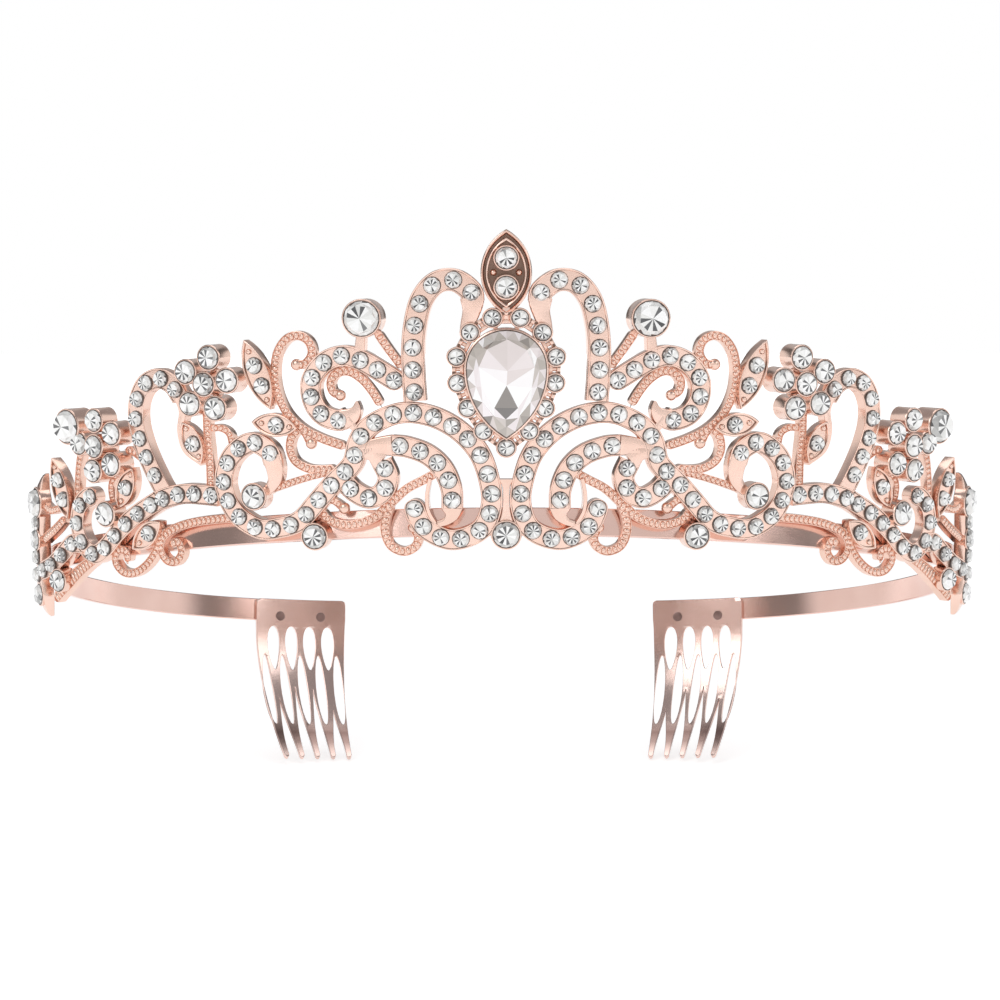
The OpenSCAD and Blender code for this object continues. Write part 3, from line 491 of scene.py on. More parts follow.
def finish_piece(name, piece, bend, replaces, side=1, sharp=38, faceted=False):
    """Bends a collected piece into place, and hands it to the frame."""
    flat = np.vstack(piece.points)
    if side < 0:
        flat = flat * np.array([-1, 1, 1])
    faces = [tuple(reversed(f)) for f in piece.faces] if side < 0 else piece.faces
    mesh = bpy.data.meshes.new(name)
    mesh.from_pydata(bend(flat).tolist(), [], faces)
    names = list(dict.fromkeys(piece.finishes))
    for finish in names:
        mesh.materials.append(FINISHES[finish])
    mesh.polygons.foreach_set("material_index", [names.index(f) for f in piece.finishes])
    # Each face's painted brightness, which the stone finishes turn into painted reflections and sparkle
    tone = mesh.attributes.new("tone", "FLOAT", "FACE")
    tone.data.foreach_set("value", piece.tones)
    strip = mesh.uv_layers.new(name="strip")
    corners = np.empty(len(mesh.loops), int)
    mesh.loops.foreach_get("vertex_index", corners)
    strip.data.foreach_set("uv", (flat[corners][:, :2] * 0.1).ravel())
    if faceted:
        mesh.shade_flat()
    else:
        mesh.shade_smooth()
        mesh.set_sharp_from_angle(angle=math.radians(sharp))
    mesh.update()
    made = bpy.data.objects.new(name, mesh)
    bpy.context.scene.collection.objects.link(made)
    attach(made, "root")
    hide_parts(*replaces)
    return made


# ---- Geometry Nodes: ribbons, milgrain and rows of stones along paths ----


class Recipe:
    """A Geometry Nodes tree that is built one step at a time, with named inputs for its sizes."""

    KINDS = {
        float: "NodeSocketFloat", int: "NodeSocketInt", "object": "NodeSocketObject", "material": "NodeSocketMaterial",
    }

    def __init__(self, name, **inputs):
        self.tree = bpy.data.node_groups.new(name, "GeometryNodeTree")
        face = self.tree.interface
        face.new_socket("Geometry", in_out="INPUT", socket_type="NodeSocketGeometry")
        self.ids = {}
        for key, kind in inputs.items():
            self.ids[key] = face.new_socket(key, in_out="INPUT", socket_type=self.KINDS[kind]).identifier
        face.new_socket("Geometry", in_out="OUTPUT", socket_type="NodeSocketGeometry")
        self.inputs = self.tree.nodes.new("NodeGroupInput").outputs
        self.paths = self.inputs["Geometry"]

    def step(self, kind, links=None, values=None, out=0, **settings):
        """Adds a node, sets it, links or fills its sockets by identifier, and returns one of its outputs."""
        node = self.tree.nodes.new(kind)
        for key, value in settings.items():
            setattr(node, key, value)
        sockets = {s.identifier: s for s in node.inputs}
        for key, source in (links or {}).items():
            self.tree.links.new(source, sockets[key])
        for key, value in (values or {}).items():
            sockets[key].default_value = value
        return node.outputs[out]

    def maths(self, operation, a, b):
        node = self.tree.nodes.new("ShaderNodeMath")
        node.operation = operation
        for socket, value in zip(node.inputs, (a, b)):
            if isinstance(value, (int, float)):
                socket.default_value = value
            else:
                self.tree.links.new(value, socket)
        return node.outputs[0]

    def close(self, shape):
        """Ends the tree in Realize Instances and Set Material."""
        shape = self.step("GeometryNodeRealizeInstances", {"Geometry": shape})
        shape = self.step("GeometryNodeSetMaterial", {"Geometry": shape, "Material": self.inputs["Finish"]})
        self.tree.links.new(shape, self.tree.nodes.new("NodeGroupOutput").inputs[0])
        return self

    def sweep(self):
        """Section swept along the paths: as wide as the path, but always as tall as the section is drawn."""
        half = self.step("GeometryNodeInputRadius")
        kept = self.step(
            "GeometryNodeStoreNamedAttribute", {"Geometry": self.paths, "Value": half}, {"Name": "half"}, domain="POINT"
        )
        up = self.step("GeometryNodeSetCurveNormal", {"Curve": kept}, mode="Z_UP")
        section = self.step("GeometryNodeObjectInfo", {"Object": self.inputs["Section"]}, out=4)
        tube = self.step(
            "GeometryNodeCurveToMesh",
            {"Curve": up, "Profile Curve": section, "Scale": self.step("GeometryNodeInputRadius")},
            {"Fill Caps": True},
        )
        place = self.tree.nodes.new("ShaderNodeSeparateXYZ")
        self.tree.links.new(self.step("GeometryNodeInputPosition"), place.inputs[0])
        width = self.step("GeometryNodeInputNamedAttribute", values={"Name": "half"}, data_type="FLOAT")
        joined = self.tree.nodes.new("ShaderNodeCombineXYZ")
        for k in range(2):
            self.tree.links.new(place.outputs[k], joined.inputs[k])
        height = self.maths("DIVIDE", place.outputs[2], self.maths("MULTIPLY", width, -1.0))
        self.tree.links.new(height, joined.inputs[2])
        tube = self.step("GeometryNodeSetPosition", {"Geometry": tube, "Position": joined.outputs[0]})
        return self.step("GeometryNodeFlipFaces", {"Mesh": tube})


def ribbon_recipe():
    r = Recipe("Ribbon", Section="object", Finish="material")
    return r.close(r.sweep())


def milgrain_recipe():
    """A ribbon with two plain edges and a row of beads between them."""
    r = Recipe("Milgrain ribbon", Section="object", Bead="object", Gap=float, Half=float, Finish="material")
    places = r.step("GeometryNodeResampleCurve", {"Curve": r.paths, "Length": r.inputs["Gap"]}, mode="LENGTH")
    along = r.step("FunctionNodeAlignRotationToVector", {"Vector": r.step("GeometryNodeInputTangent")}, axis="X")
    wide = r.maths("DIVIDE", r.step("GeometryNodeInputRadius"), r.inputs["Half"])
    size = r.tree.nodes.new("ShaderNodeCombineXYZ")
    size.inputs[0].default_value = 1
    r.tree.links.new(wide, size.inputs[1])
    size.inputs[2].default_value = 1
    bead = r.step("GeometryNodeObjectInfo", {"Object": r.inputs["Bead"]}, out=4)
    beads = r.step(
        "GeometryNodeInstanceOnPoints",
        {"Points": places, "Instance": bead, "Rotation": along, "Scale": size.outputs[0]},
    )
    both = r.tree.nodes.new("GeometryNodeJoinGeometry")
    r.tree.links.new(beads, both.inputs[0])
    r.tree.links.new(r.sweep(), both.inputs[0])
    return r.close(both.outputs[0])


def stone_row_recipe():
    """One stone, or one seat's ring of painted shadow, at each even place along the paths, each stone turned at random.
    """
    r = Recipe("Stone row", Stone="object", Gap=float, Lead=float, Tail=float, Turn=float, Seed=int, Finish="material")
    length = r.step("GeometryNodeSplineLength")
    end = r.maths("SUBTRACT", length, r.inputs["Tail"])
    used = r.step(
        "GeometryNodeTrimCurve", {"Curve": r.paths, "Start_001": r.inputs["Lead"], "End_001": end}, mode="LENGTH"
    )
    count = r.maths("ROUND", r.maths("DIVIDE", r.step("GeometryNodeSplineLength"), r.inputs["Gap"]), 0)
    places = r.step("GeometryNodeResampleCurve", {"Curve": used, "Count": r.maths("ADD", count, 1)}, mode="COUNT")
    turn = r.step(
        "FunctionNodeRandomValue", {"Max_001": r.inputs["Turn"], "Seed": r.inputs["Seed"]}, {"Min_001": 0.0},
        out=1, data_type="FLOAT",
    )
    about = r.tree.nodes.new("ShaderNodeCombineXYZ")
    r.tree.links.new(turn, about.inputs[2])
    spin = r.step("FunctionNodeEulerToRotation", {"Euler": about.outputs[0]})
    stone = r.step("GeometryNodeObjectInfo", {"Object": r.inputs["Stone"]}, out=4)
    stones = r.step("GeometryNodeInstanceOnPoints", {"Points": places, "Instance": stone, "Rotation": spin})
    return r.close(stones)


def add_line(data, points):
    """Adds a line of straight stretches through flat points to a curve."""
    line = data.splines.new("POLY")
    line.points.add(len(points) - 1)
    flat = np.array([tuple(p[:2]) for p in points], float)
    line.points.foreach_set("co", np.column_stack([flat, np.zeros(len(flat)), np.ones(len(flat))]).ravel())
    return line


def run_recipe(recipe, paths, **values):
    """Runs a tree over smooth paths and returns the plain mesh."""
    data = bpy.data.curves.new("paths", "CURVE")
    data.dimensions = "3D"
    for path in paths:
        add_line(data, path).points.foreach_set("radius", path[:, 2])
    holder = bpy.data.objects.new("maker", data)
    bpy.context.scene.collection.objects.link(holder)
    maker = holder.modifiers.new("maker", "NODES")
    maker.node_group = recipe.tree
    for key, value in values.items():
        maker[recipe.ids[key]] = value
    depsgraph = bpy.context.evaluated_depsgraph_get()
    mesh = bpy.data.meshes.new_from_object(holder.evaluated_get(depsgraph))
    bpy.data.objects.remove(holder)
    bpy.data.curves.remove(data)
    return mesh


def tool(name, data):
    """A hidden helper for the trees: a section, a bead, a stone or a seat's ring of painted shadow."""
    made = bpy.data.objects.new(name, data)
    TOOLS.append(made)
    return made


def section_tool(name, outline):
    data = bpy.data.curves.new(name, "CURVE")
    data.dimensions = "3D"
    add_line(data, outline).use_cyclic_u = True
    return tool(name, data)


def mesh_tool(name, points, faces):
    if volume(points, faces) < 0:
        faces = [tuple(reversed(f)) for f in faces]
    data = bpy.data.meshes.new(name)
    data.from_pydata(np.asarray(points).tolist(), [], faces)
    return tool(name, data)


def mirrored_section(right):
    """Closed outline from its right half, listed from the bottom up to the middle of the top."""
    return right + [(-x, y) for x, y in reversed(right)]


# ---- Finishes ----


class Finish:
    """A material's node tree with short calls to add and link nodes."""

    def __init__(self, name):
        self.material = bpy.data.materials.new(name)
        self.material.use_nodes = True
        self.nodes = self.material.node_tree.nodes
        self.links = self.material.node_tree.links
        self.skin = self.nodes["Principled BSDF"]

    def node(self, kind, **settings):
        made = self.nodes.new(kind)
        for key, value in settings.items():
            setattr(made, key, value)
        return made

    def noise(self, source, scale, detail=3.0, rough=0.5):
        made = self.node("ShaderNodeTexNoise")
        made.inputs["Scale"].default_value = scale
        made.inputs["Detail"].default_value = detail
        made.inputs["Roughness"].default_value = rough
        self.links.new(source, made.inputs["Vector"])
        return made.outputs["Fac"]

    def ramp(self, source, *stops):
        made = self.node("ShaderNodeValToRGB")
        made.color_ramp.elements.remove(made.color_ramp.elements[1])
        for k, (place, colour) in enumerate(stops):
            stop = made.color_ramp.elements[0] if k == 0 else made.color_ramp.elements.new(place)
            stop.position = place
            stop.color = (*colour, 1)
        self.links.new(source, made.inputs["Fac"])
        return made.outputs["Color"]

    def between(self, source, low, high, start=0.3, end=0.7):
        made = self.node("ShaderNodeMapRange")
        made.inputs["To Min"].default_value = low
        made.inputs["To Max"].default_value = high
        made.inputs["From Min"].default_value = start
        made.inputs["From Max"].default_value = end
        self.links.new(source, made.inputs["Value"])
        return made.outputs["Result"]

    def bump(self, source, strength, distance):
        made = self.node("ShaderNodeBump")
        made.inputs["Strength"].default_value = strength
        made.inputs["Distance"].default_value = distance
        self.links.new(source, made.inputs["Height"])
        self.links.new(made.outputs["Normal"], self.skin.inputs["Normal"])

    def paint(self, colour=None, rough=None, **values):
        if colour is not None:
            self.links.new(colour, self.skin.inputs["Base Color"])
        if rough is not None:
            self.links.new(rough, self.skin.inputs["Roughness"])
        for key, value in values.items():
            self.skin.inputs[key.replace("_", " ")].default_value = value
        return self.material

    def object_place(self):
        return self.node("ShaderNodeTexCoord").outputs["Object"]

    def strip_place(self, stretch):
        """The piece's own flat layout, stretched so that a grain runs along it."""
        layout = self.node("ShaderNodeUVMap", uv_map="strip")
        mapping = self.node("ShaderNodeMapping")
        mapping.inputs["Scale"].default_value = stretch
        self.links.new(layout.outputs["UV"], mapping.inputs["Vector"])
        return mapping.outputs["Vector"]


def cast_finish(name, pale, deep, smooth, dull, pitting=0.12):
    """Polished plated casting: soft ripples left by the mould, a little tarnish, fine pits."""
    f = Finish(name)
    place = f.object_place()
    ripple = f.noise(place, 420, 2.0)
    grain = f.noise(place, 5200, 4.0, 0.6)
    colour = f.ramp(f.noise(place, 260, 3.0), (0.3, deep), (0.62, pale))
    mixed = f.node("ShaderNodeMath", operation="ADD")
    f.links.new(ripple, mixed.inputs[0])
    f.links.new(f.between(grain, 0.0, 0.35), mixed.inputs[1])
    f.bump(mixed.outputs[0], pitting, 0.00006)
    return f.paint(colour, f.between(grain, smooth, dull), Metallic=1.0)


def rolled_finish(name, pale, deep, smooth, dull, tip_band_colour=None):
    """Plated strip or sheet with the fine lines of rolling along it, and a darker stretch on the teeth near their tips
    if its colour is given.
    """
    f = Finish(name)
    lines = f.noise(f.strip_place((0.6, 60.0, 1.0)), 6.0, 4.0, 0.6)
    cloud = f.noise(f.object_place(), 120, 2.0)
    colour = f.ramp(cloud, (0.3, deep), (0.65, pale))
    f.bump(lines, 0.08, 0.00003)
    if tip_band_colour:
        # The strip layout runs in centimetres down the teeth, so this reads the depth of the tips
        split = f.node("ShaderNodeSeparateXYZ")
        f.links.new(f.strip_place((1.0, 1.0, 1.0)), split.inputs["Vector"])
        depth = f.node("ShaderNodeMath", operation="MULTIPLY")
        f.links.new(split.outputs["Y"], depth.inputs[0])
        depth.inputs[1].default_value = -1 / 3
        mask = f.ramp(depth.outputs[0], (0.7, (0, 0, 0)), (0.8, (1, 1, 1)), (0.86, (0.8, 0.8, 0.8)), (0.93, (0, 0, 0)))
        mixed = f.node("ShaderNodeMix", data_type="RGBA")
        f.links.new(mask, mixed.inputs["Factor"])
        f.links.new(colour, mixed.inputs["A"])
        mixed.inputs["B"].default_value = (*tip_band_colour, 1)
        colour = mixed.outputs["Result"]
    return f.paint(colour, f.between(lines, smooth, dull), Metallic=1.0)


def stone_finish(name, *stops):
    """Foil-backed crystal: each facet's fixed painted brightness stands in for its reflections and sparkle, under a
    clear hard polish.
    """
    f = Finish(name)
    tone = f.node("ShaderNodeAttribute", attribute_name="tone")
    haze = f.noise(f.object_place(), 900, 2.0)
    colour = f.ramp(tone.outputs["Fac"], *stops)
    return f.paint(
        colour, f.between(haze, 0.03, 0.09), IOR=1.75, Metallic=0.0, Coat_Weight=0.6, Coat_Roughness=0.02
    )


def rose(brightness, warmth=0.0):
    return tuple(brightness * c for c in (0.93, 0.675 - 0.2 * warmth, 0.575 - 0.3 * warmth))


FINISHES = {
    "cast": cast_finish("rose_gold_cast", rose(0.97), rose(0.92, 0.12), 0.13, 0.26),
    "bead": cast_finish("milgrain_bead_cast", rose(0.97, 0.05), rose(0.9, 0.15), 0.18, 0.3, 0.05),
    # Unpolished metal painted dark brown for the shade in the leaf and finial floors and on the halo claws
    "recess": cast_finish("unpolished_painted_shade", rose(0.3, 0.3), rose(0.2, 0.35), 0.3, 0.5, 0.3),
    # Painted shadow: the dark rings round the stones in their seats
    "seat": cast_finish("stone_seat_shadow", (0.2, 0.15, 0.13), (0.1, 0.075, 0.065), 0.3, 0.5, 0.1),
    "strip": rolled_finish("rose_gold_strip", (0.86, 0.61, 0.54), (0.78, 0.53, 0.46), 0.1, 0.18),
    "comb": rolled_finish(
        "rose_gold_comb_sheet", (0.83, 0.63, 0.57), (0.72, 0.54, 0.485), 0.12, 0.24, (0.26, 0.17, 0.15)
    ),
    "weld": cast_finish("weld_spot", (0.3, 0.2, 0.18), (0.14, 0.09, 0.08), 0.3, 0.5, 0.2),
    # Painted light: the facets' painted brightness runs from black to white for the stones' reflections and sparkle
    "stone": stone_finish(
        "clear_crystal", (0.0, (0.012, 0.012, 0.015)), (0.3, (0.12, 0.12, 0.125)), (0.6, (0.5, 0.5, 0.49)),
        (0.85, (0.88, 0.88, 0.86)), (1.0, (1.0, 1.0, 1.0)),
    ),
    # Painted reflections: the pear's facets run from dark grey to pinkish white, for the rose gold cup and the white
    # room
    "pear": stone_finish(
        "pear_crystal", (0.0, (0.08, 0.078, 0.08)), (0.25, (0.27, 0.24, 0.22)), (0.5, (0.55, 0.5, 0.45)),
        (0.75, (0.78, 0.7, 0.69)), (0.9, (0.92, 0.86, 0.88)), (1.0, (1.0, 1.0, 1.0)),
    ),
}

TOOLS = []

SET_SECTION = section_tool("set_ribbon_section", mirrored_section([
    (0.9, BACK), (1, BACK + 0.14), (1, SET_TOP - 0.14), (0.985, SET_TOP - 0.05), (0.95, SET_TOP), (0.87, SET_TOP),
    (0.83, SET_TOP - 0.04), (0.8, SET_TOP - 0.15),
]))
PLATE_SECTION = section_tool("plate_section", mirrored_section([
    (0.8, BACK), (1, BACK + 0.14), (1, SET_TOP - 0.2), (0.97, SET_TOP - 0.1), (0.9, SET_TOP - 0.04),
    (0.8, SET_TOP - 0.02),
]))
VINE_SECTION = section_tool("milgrain_section", mirrored_section([
    (0.75, BACK), (1, BACK + 0.16), (1, VINE_TOP - 0.22), (0.95, VINE_TOP - 0.12), (0.85, VINE_TOP - 0.1),
    (0.78, VINE_TOP - 0.16), (0.74, VINE_TOP - 0.3),
]))


def dome(along, across, height, foot, steps=10):
    """Half an ellipsoid on a short foot, for a bead."""
    loops = [np.column_stack([circle_loop(1, 0, steps)[:, :2] * (along, across), np.full(steps, foot)])]
    for lift in (0.0, 30.0, 58.0):
        a = math.radians(lift)
        flat = circle_loop(1, 0, steps)[:, :2] * (along, across) * math.cos(a)
        loops.append(np.column_stack([flat, np.full(steps, foot + 0.12 + (height - 0.12) * math.sin(a))]))
    points, faces = stack(loops)
    top = len(points)
    last = faces.pop()
    points = np.vstack([points, [0, 0, foot + height]])
    return points, faces + [(last[i], last[(i + 1) % steps], top) for i in range(steps)]


def pin_end(r, level):
    """Low rounded end of a casting pin on the back, facing down."""
    height, sunk = 0.26, 0.1
    points, faces = dome(r, r, height, 0, 14)
    return points * (1, 1, -1) + (0, 0, level + sunk), [tuple(reversed(face)) for face in faces]


def seat_shadow_ring(r, level, steps=20):
    """Dark narrow ring of painted shadow where a stone sits in its drilled seat."""
    return ring_skin([
        circle_loop(r - 0.05, level - 0.1, steps), circle_loop(r + 0.1, level - 0.1, steps),
        circle_loop(r + 0.1, level + 0.02, steps), circle_loop(r - 0.05, level + 0.06, steps),
    ])


SMALL_STONE = brilliant(STONE_R, GIRDLE, CROWN)
STONE_TOOL = mesh_tool("small_stone", SMALL_STONE[0] + (0, 0, STONE_FOOT), SMALL_STONE[1])
# Ring of painted shadow round each small stone
SEAT_SHADOW_TOOL = mesh_tool("small_stone_seat", *seat_shadow_ring(STONE_R, SET_TOP - 0.12))
PIN_TOOL = mesh_tool("casting_pin_end", *pin_end(0.6, BACK))
BEAD_TOOL = mesh_tool("milgrain_bead", *dome(0.35, 0.5, 0.46, VINE_TOP - 0.42))

RIBBON, MILGRAIN, STONE_ROW = ribbon_recipe(), milgrain_recipe(), stone_row_recipe()


# ---- Parts of the panel ----


def set_ribbon(piece, path, lead=1.3, tail=1.3, gap=STONE_GAP, half=SET_HALF, round_start=False, round_end=False):
    """Ribbon with a low rail on each edge and the dark painted shadows round the seats of its row of stones."""
    line = smooth_path(path, half, 0.35, round_start, round_end)
    piece.add_mesh(run_recipe(RIBBON, [line], Section=SET_SECTION, Finish=FINISHES["cast"]), "cast")
    piece.add_mesh(row_of(PIN_TOOL, path, lead, tail, gap, 0.0, 0, "cast"), "cast")
    piece.add_mesh(row_of(SEAT_SHADOW_TOOL, path, lead, tail, gap, 0.0, 0, "seat"), "seat")


def row_of(stone, path, lead, tail, gap, turn, seed, finish):
    return run_recipe(
        STONE_ROW, [smooth_path(path, SET_HALF, 0.3)], Stone=stone, Gap=gap, Lead=lead, Tail=tail, Turn=turn,
        Seed=seed, Finish=FINISHES[finish],
    )


def stones_along(piece, path, lead=1.3, tail=1.3, gap=STONE_GAP, seed=1):
    mesh = row_of(STONE_TOOL, path, lead, tail, gap, 2 * math.pi, seed, "stone")
    count = len(mesh.polygons) // len(SMALL_STONE[1])
    piece.add_mesh(mesh, "stone", sparkle(SMALL_STONE[2], count, seed))


def plates(piece, *paths):
    lines = [smooth_path(p, VINE_HALF, 0.35) for p in paths]
    piece.add_mesh(run_recipe(RIBBON, lines, Section=PLATE_SECTION, Finish=FINISHES["cast"]), "cast")


def milgrain(piece, *paths, round_start=True, round_end=True):
    lines = [smooth_path(p, VINE_HALF, 0.3, round_start, round_end) for p in paths]
    mesh = run_recipe(
        MILGRAIN, lines, Section=VINE_SECTION, Bead=BEAD_TOOL, Gap=0.74, Half=VINE_HALF, Finish=FINISHES["bead"]
    )
    piece.add_mesh(mesh, "bead")


def cup(piece, spot):
    """Turned cup with a rolled lip, and a dark line of painted shadow where its stone goes in."""
    u, v, r, high = spot
    wall = r + CUP_WALL
    points, faces = stack([
        circle_loop(wall - 0.1, 0), circle_loop(wall + 0.02, 0.12), circle_loop(wall, 0.5),
        circle_loop(wall, high - 0.24), circle_loop(wall + 0.03, high - 0.12), circle_loop(wall - 0.02, high - 0.02),
        circle_loop(wall - 0.12, high + 0.01), circle_loop(r - 0.01, high - 0.04), circle_loop(r - 0.06, high - 0.3),
    ])
    piece.add(points + (u, v, CUP_FOOT), faces, "cast")
    points, faces = pin_end(r * 0.45, 0)
    piece.add(points + (u, v, CUP_FOOT), faces, "cast")
    points, faces = seat_shadow_ring(r, high, 32)
    piece.add(points + (u, v, CUP_FOOT), faces, "seat")


def cup_stone(piece, spot, seed, pale=0.05):
    u, v, r, high = spot
    points, faces, tags = brilliant(r, high - 0.5, r * 0.4)
    turn = np.random.default_rng(seed).uniform(0, 360)
    piece.add(turned(points, turn, u, v, CUP_FOOT + 0.5), faces, "stone", sparkle(tags, 1, seed, pale))


def knob(piece, u, v, r, top=VINE_TOP):
    """Round bead at the end of a curl."""
    points, faces = dome(r, r, 0.75, 0, 18)
    piece.add(points + (u, v, top - 0.62), faces, "bead")


def leaf(piece, spot):
    u, v, length, turn, stones, beads = spot
    half = min(1.75, length * 0.24)
    top = LEAF_FOOT + 1.75
    floor = top - 0.34

    def loop(inset, z):
        return vesica_loop(length - 3.2 * inset, half - inset, z)

    points, faces = stack([
        loop(0.16, LEAF_FOOT), loop(0, LEAF_FOOT + 0.16), loop(0, top - 0.14), loop(0.04, top - 0.03),
        loop(0.1, top), loop(0.2, top), loop(0.27, top - 0.05), loop(0.31, floor),
    ])
    piece.add(turned(points, turn, u, v), faces, "cast")
    # A thin ring painted dark for the shade where the rim meets the leaf's floor
    points, faces = ring_skin([
        loop(0.3, floor - 0.05), loop(0.36, floor - 0.05), loop(0.36, floor + 0.015), loop(0.3, floor + 0.03),
    ])
    piece.add(turned(points, turn, u, v), faces, "recess")
    for d in stones:
        pin, skin = pin_end(0.55, LEAF_FOOT)
        piece.add(turned(pin + (d, 0, 0), turn, u, v), skin, "cast")
        # Dark ring of painted shadow round the stone
        ring, skin = seat_shadow_ring(STONE_R, floor + 0.02)
        piece.add(turned(ring + (d, 0, 0), turn, u, v), skin, "seat")
    for d in beads:
        ball, skin = dome(0.4, 0.4, 0.42, 0, 14)
        piece.add(turned(ball + (d, 0, floor - 0.05), turn, u, v), skin, "bead")


def leaf_stones(piece, spot, seed):
    u, v, _, turn, stones, _ = spot
    for k, d in enumerate(stones):
        points, faces, tags = brilliant(STONE_R, GIRDLE, CROWN)
        spun = turned(points, 37 * (seed + k)) + (d, 0, STONE_FOOT + 0.08)
        piece.add(turned(spun, turn, u, v), faces, "stone", sparkle(tags, 1, seed * 7 + k))


def tie(piece, a, b, start, end):
    """Soldered bar between two cups."""
    half, top = 0.45, 1.2
    du, dv = b[0] - a[0], b[1] - a[1]
    length = math.hypot(du, dv)
    points, faces = soft_box(start, length - end, -half, half, BACK, BACK + top)
    piece.add(turned(points, math.degrees(math.atan2(dv, du)), a[0], a[1]), faces, "cast")


def blossom(piece, cups):
    for spot in cups:
        cup(piece, spot)
    for spot in cups[1:]:
        tie(piece, cups[0], spot, 1.4, 1.4)


# ---- The motifs of the right half ----


def arch(piece):
    set_ribbon(piece, ARCH, 1.2, 1.2, ARCH_GAP, ARCH_HALF)
    plates(piece, ARCH_FOOT)


def main_scroll(piece):
    set_ribbon(piece, MAIN_SCROLL, round_start=True)
    plates(piece, MAIN_TAIL)
    cup(piece, BEZEL)
    cup(piece, DROP_BEZEL)


def inner_scroll(piece):
    set_ribbon(piece, INNER_SCROLL, 1.1, 1.1)
    set_ribbon(piece, SMALL_LOOP, 1.1, 1.1)
    plates(piece, INNER_HEAD, INNER_TAIL, SMALL_HEAD)


def comma_scroll(piece):
    set_ribbon(piece, COMMA, round_start=True)
    plates(piece, COMMA_HOOK, COMMA_FOOT)
    milgrain(piece, INNER_CURL)
    knob(piece, *INNER_CURL[0][:2], 0.75)


def ball_cup(piece):
    cup(piece, BALL)
    plates(piece, BALL_STEM)
    milgrain(piece, BALL_STALK)


def vine(piece):
    milgrain(piece, TALL_CURL, SIDE_CURL)
    milgrain(piece, STALK, SPUR, BRANCH)
    knob(piece, *TALL_CURL[0][:2], 0.8)
    knob(piece, *SPUR[2][:2], 0.8)


def lower_vine(piece):
    milgrain(piece, CENTRE_VINE, HANGING_LOOP, CENTRE_SPUR)
    plates(piece, LEAF_RIM)
    knob(piece, *CENTRE_SPUR[2][:2], 0.8)
    knob(piece, *HANGING_LOOP[-1][:2], 0.75)
    milgrain(piece, LONG_VINE, END_VINE)
    leaf(piece, VINE_LEAF)


def leaf_spray(piece):
    for spot in LEAVES:
        leaf(piece, spot)


def flower(piece):
    blossom(piece, FLOWER)


def heart_loop(piece):
    set_ribbon(piece, HEART_ROW, 1, 1)
    set_ribbon(piece, HEART_LOOP, tail=2.6)
    plates(piece, HEART_SIDE)
    milgrain(piece, STEM, STEM_ARCH)


def side_scroll(piece):
    set_ribbon(piece, SIDE_SCROLL, round_end=True)
    set_ribbon(piece, SIDE_ROW, 2.4, 2.2)
    milgrain(piece, SIDE_STRUT)
    cup(piece, SIDE_BEZEL)
    cup(piece, LOW_BEZEL)


def side_sprig(piece):
    blossom(piece, SPRIG_FLOWER)
    cup(piece, SPRIG_BALL)
    milgrain(piece, SPRIG_STALK, SPRIG_STEM, SPRIG_FOOT)
    for spot in SPRIG_LEAVES:
        leaf(piece, spot)


def end_motif(piece):
    mesh = run_recipe(RIBBON, [smooth_path(END_PATH, VINE_HALF, 0.3)], Section=PLATE_SECTION, Finish=FINISHES["cast"])
    top, bottom, taper = END_PATH[0][1], END_PATH[-1][1], 3.0
    for point in mesh.vertices:
        # The plate thins out towards both of its tips
        left = min(top - point.co.y, point.co.y - bottom) / taper
        point.co.z = BACK + (point.co.z - BACK) * (0.25 + 0.75 * math.sqrt(min(1.0, max(0.0, left))))
    piece.add_mesh(mesh, "cast")
    milgrain(piece, *END_TIES)
    for spot in END_BEZELS:
        cup(piece, spot)
    for u, v in END_STONES:
        # Dark rings of painted shadow round the loose stones
        points, faces = seat_shadow_ring(STONE_R, SET_TOP)
        piece.add(points + (u, v, 0), faces, "seat")


MOTIFS = {
    "arch": arch, "main_scroll": main_scroll, "inner_scroll": inner_scroll, "comma_scroll": comma_scroll,
    "ball_cup": ball_cup, "vine": vine, "lower_vine": lower_vine, "leaf_spray": leaf_spray, "flower": flower,
    "heart_loop": heart_loop, "side_scroll": side_scroll, "side_sprig": side_sprig, "end_motif": end_motif,
}
for motif, build in MOTIFS.items():
    half_piece = Piece()
    build(half_piece)
    for side, word in ((1, "right"), (-1, "left")):
        finish_piece(f"{motif}_{word}_cast", half_piece, bend_panel, [f"{motif}_{word}"], side)


# ---- The stones of both halves ----


def main_scroll_stones(piece, seed):
    stones_along(piece, MAIN_SCROLL, seed=seed)
    cup_stone(piece, BEZEL, seed + 1)
    cup_stone(piece, DROP_BEZEL, seed + 2)


def inner_scroll_stones(piece, seed):
    stones_along(piece, INNER_SCROLL, 1.1, 1.1, seed=seed)
    stones_along(piece, SMALL_LOOP, 1.1, 1.1, seed=seed + 1)


def heart_loop_stones(piece, seed):
    stones_along(piece, HEART_ROW, 1, 1, seed=seed)
    stones_along(piece, HEART_LOOP, tail=2.6, seed=seed + 1)


def side_scroll_stones(piece, seed):
    stones_along(piece, SIDE_SCROLL, seed=seed)
    stones_along(piece, SIDE_ROW, 2.4, 2.2, seed=seed + 1)
    cup_stone(piece, SIDE_BEZEL, seed + 2)
    cup_stone(piece, LOW_BEZEL, seed + 3)


def side_sprig_stones(piece, seed):
    for k, spot in enumerate(SPRIG_FLOWER + [SPRIG_BALL]):
        cup_stone(piece, spot, seed + k)
    for k, spot in enumerate(SPRIG_LEAVES):
        leaf_stones(piece, spot, seed + 20 + k)


def end_motif_stones(piece, seed):
    for k, spot in enumerate(END_BEZELS):
        cup_stone(piece, spot, seed + k)
    for k, (u, v) in enumerate(END_STONES):
        points, faces, tags = brilliant(STONE_R, GIRDLE, CROWN)
        piece.add(turned(points, 29 * k, u, v, SET_TOP - 0.5), faces, "stone", sparkle(tags, 1, seed + 9 + k))


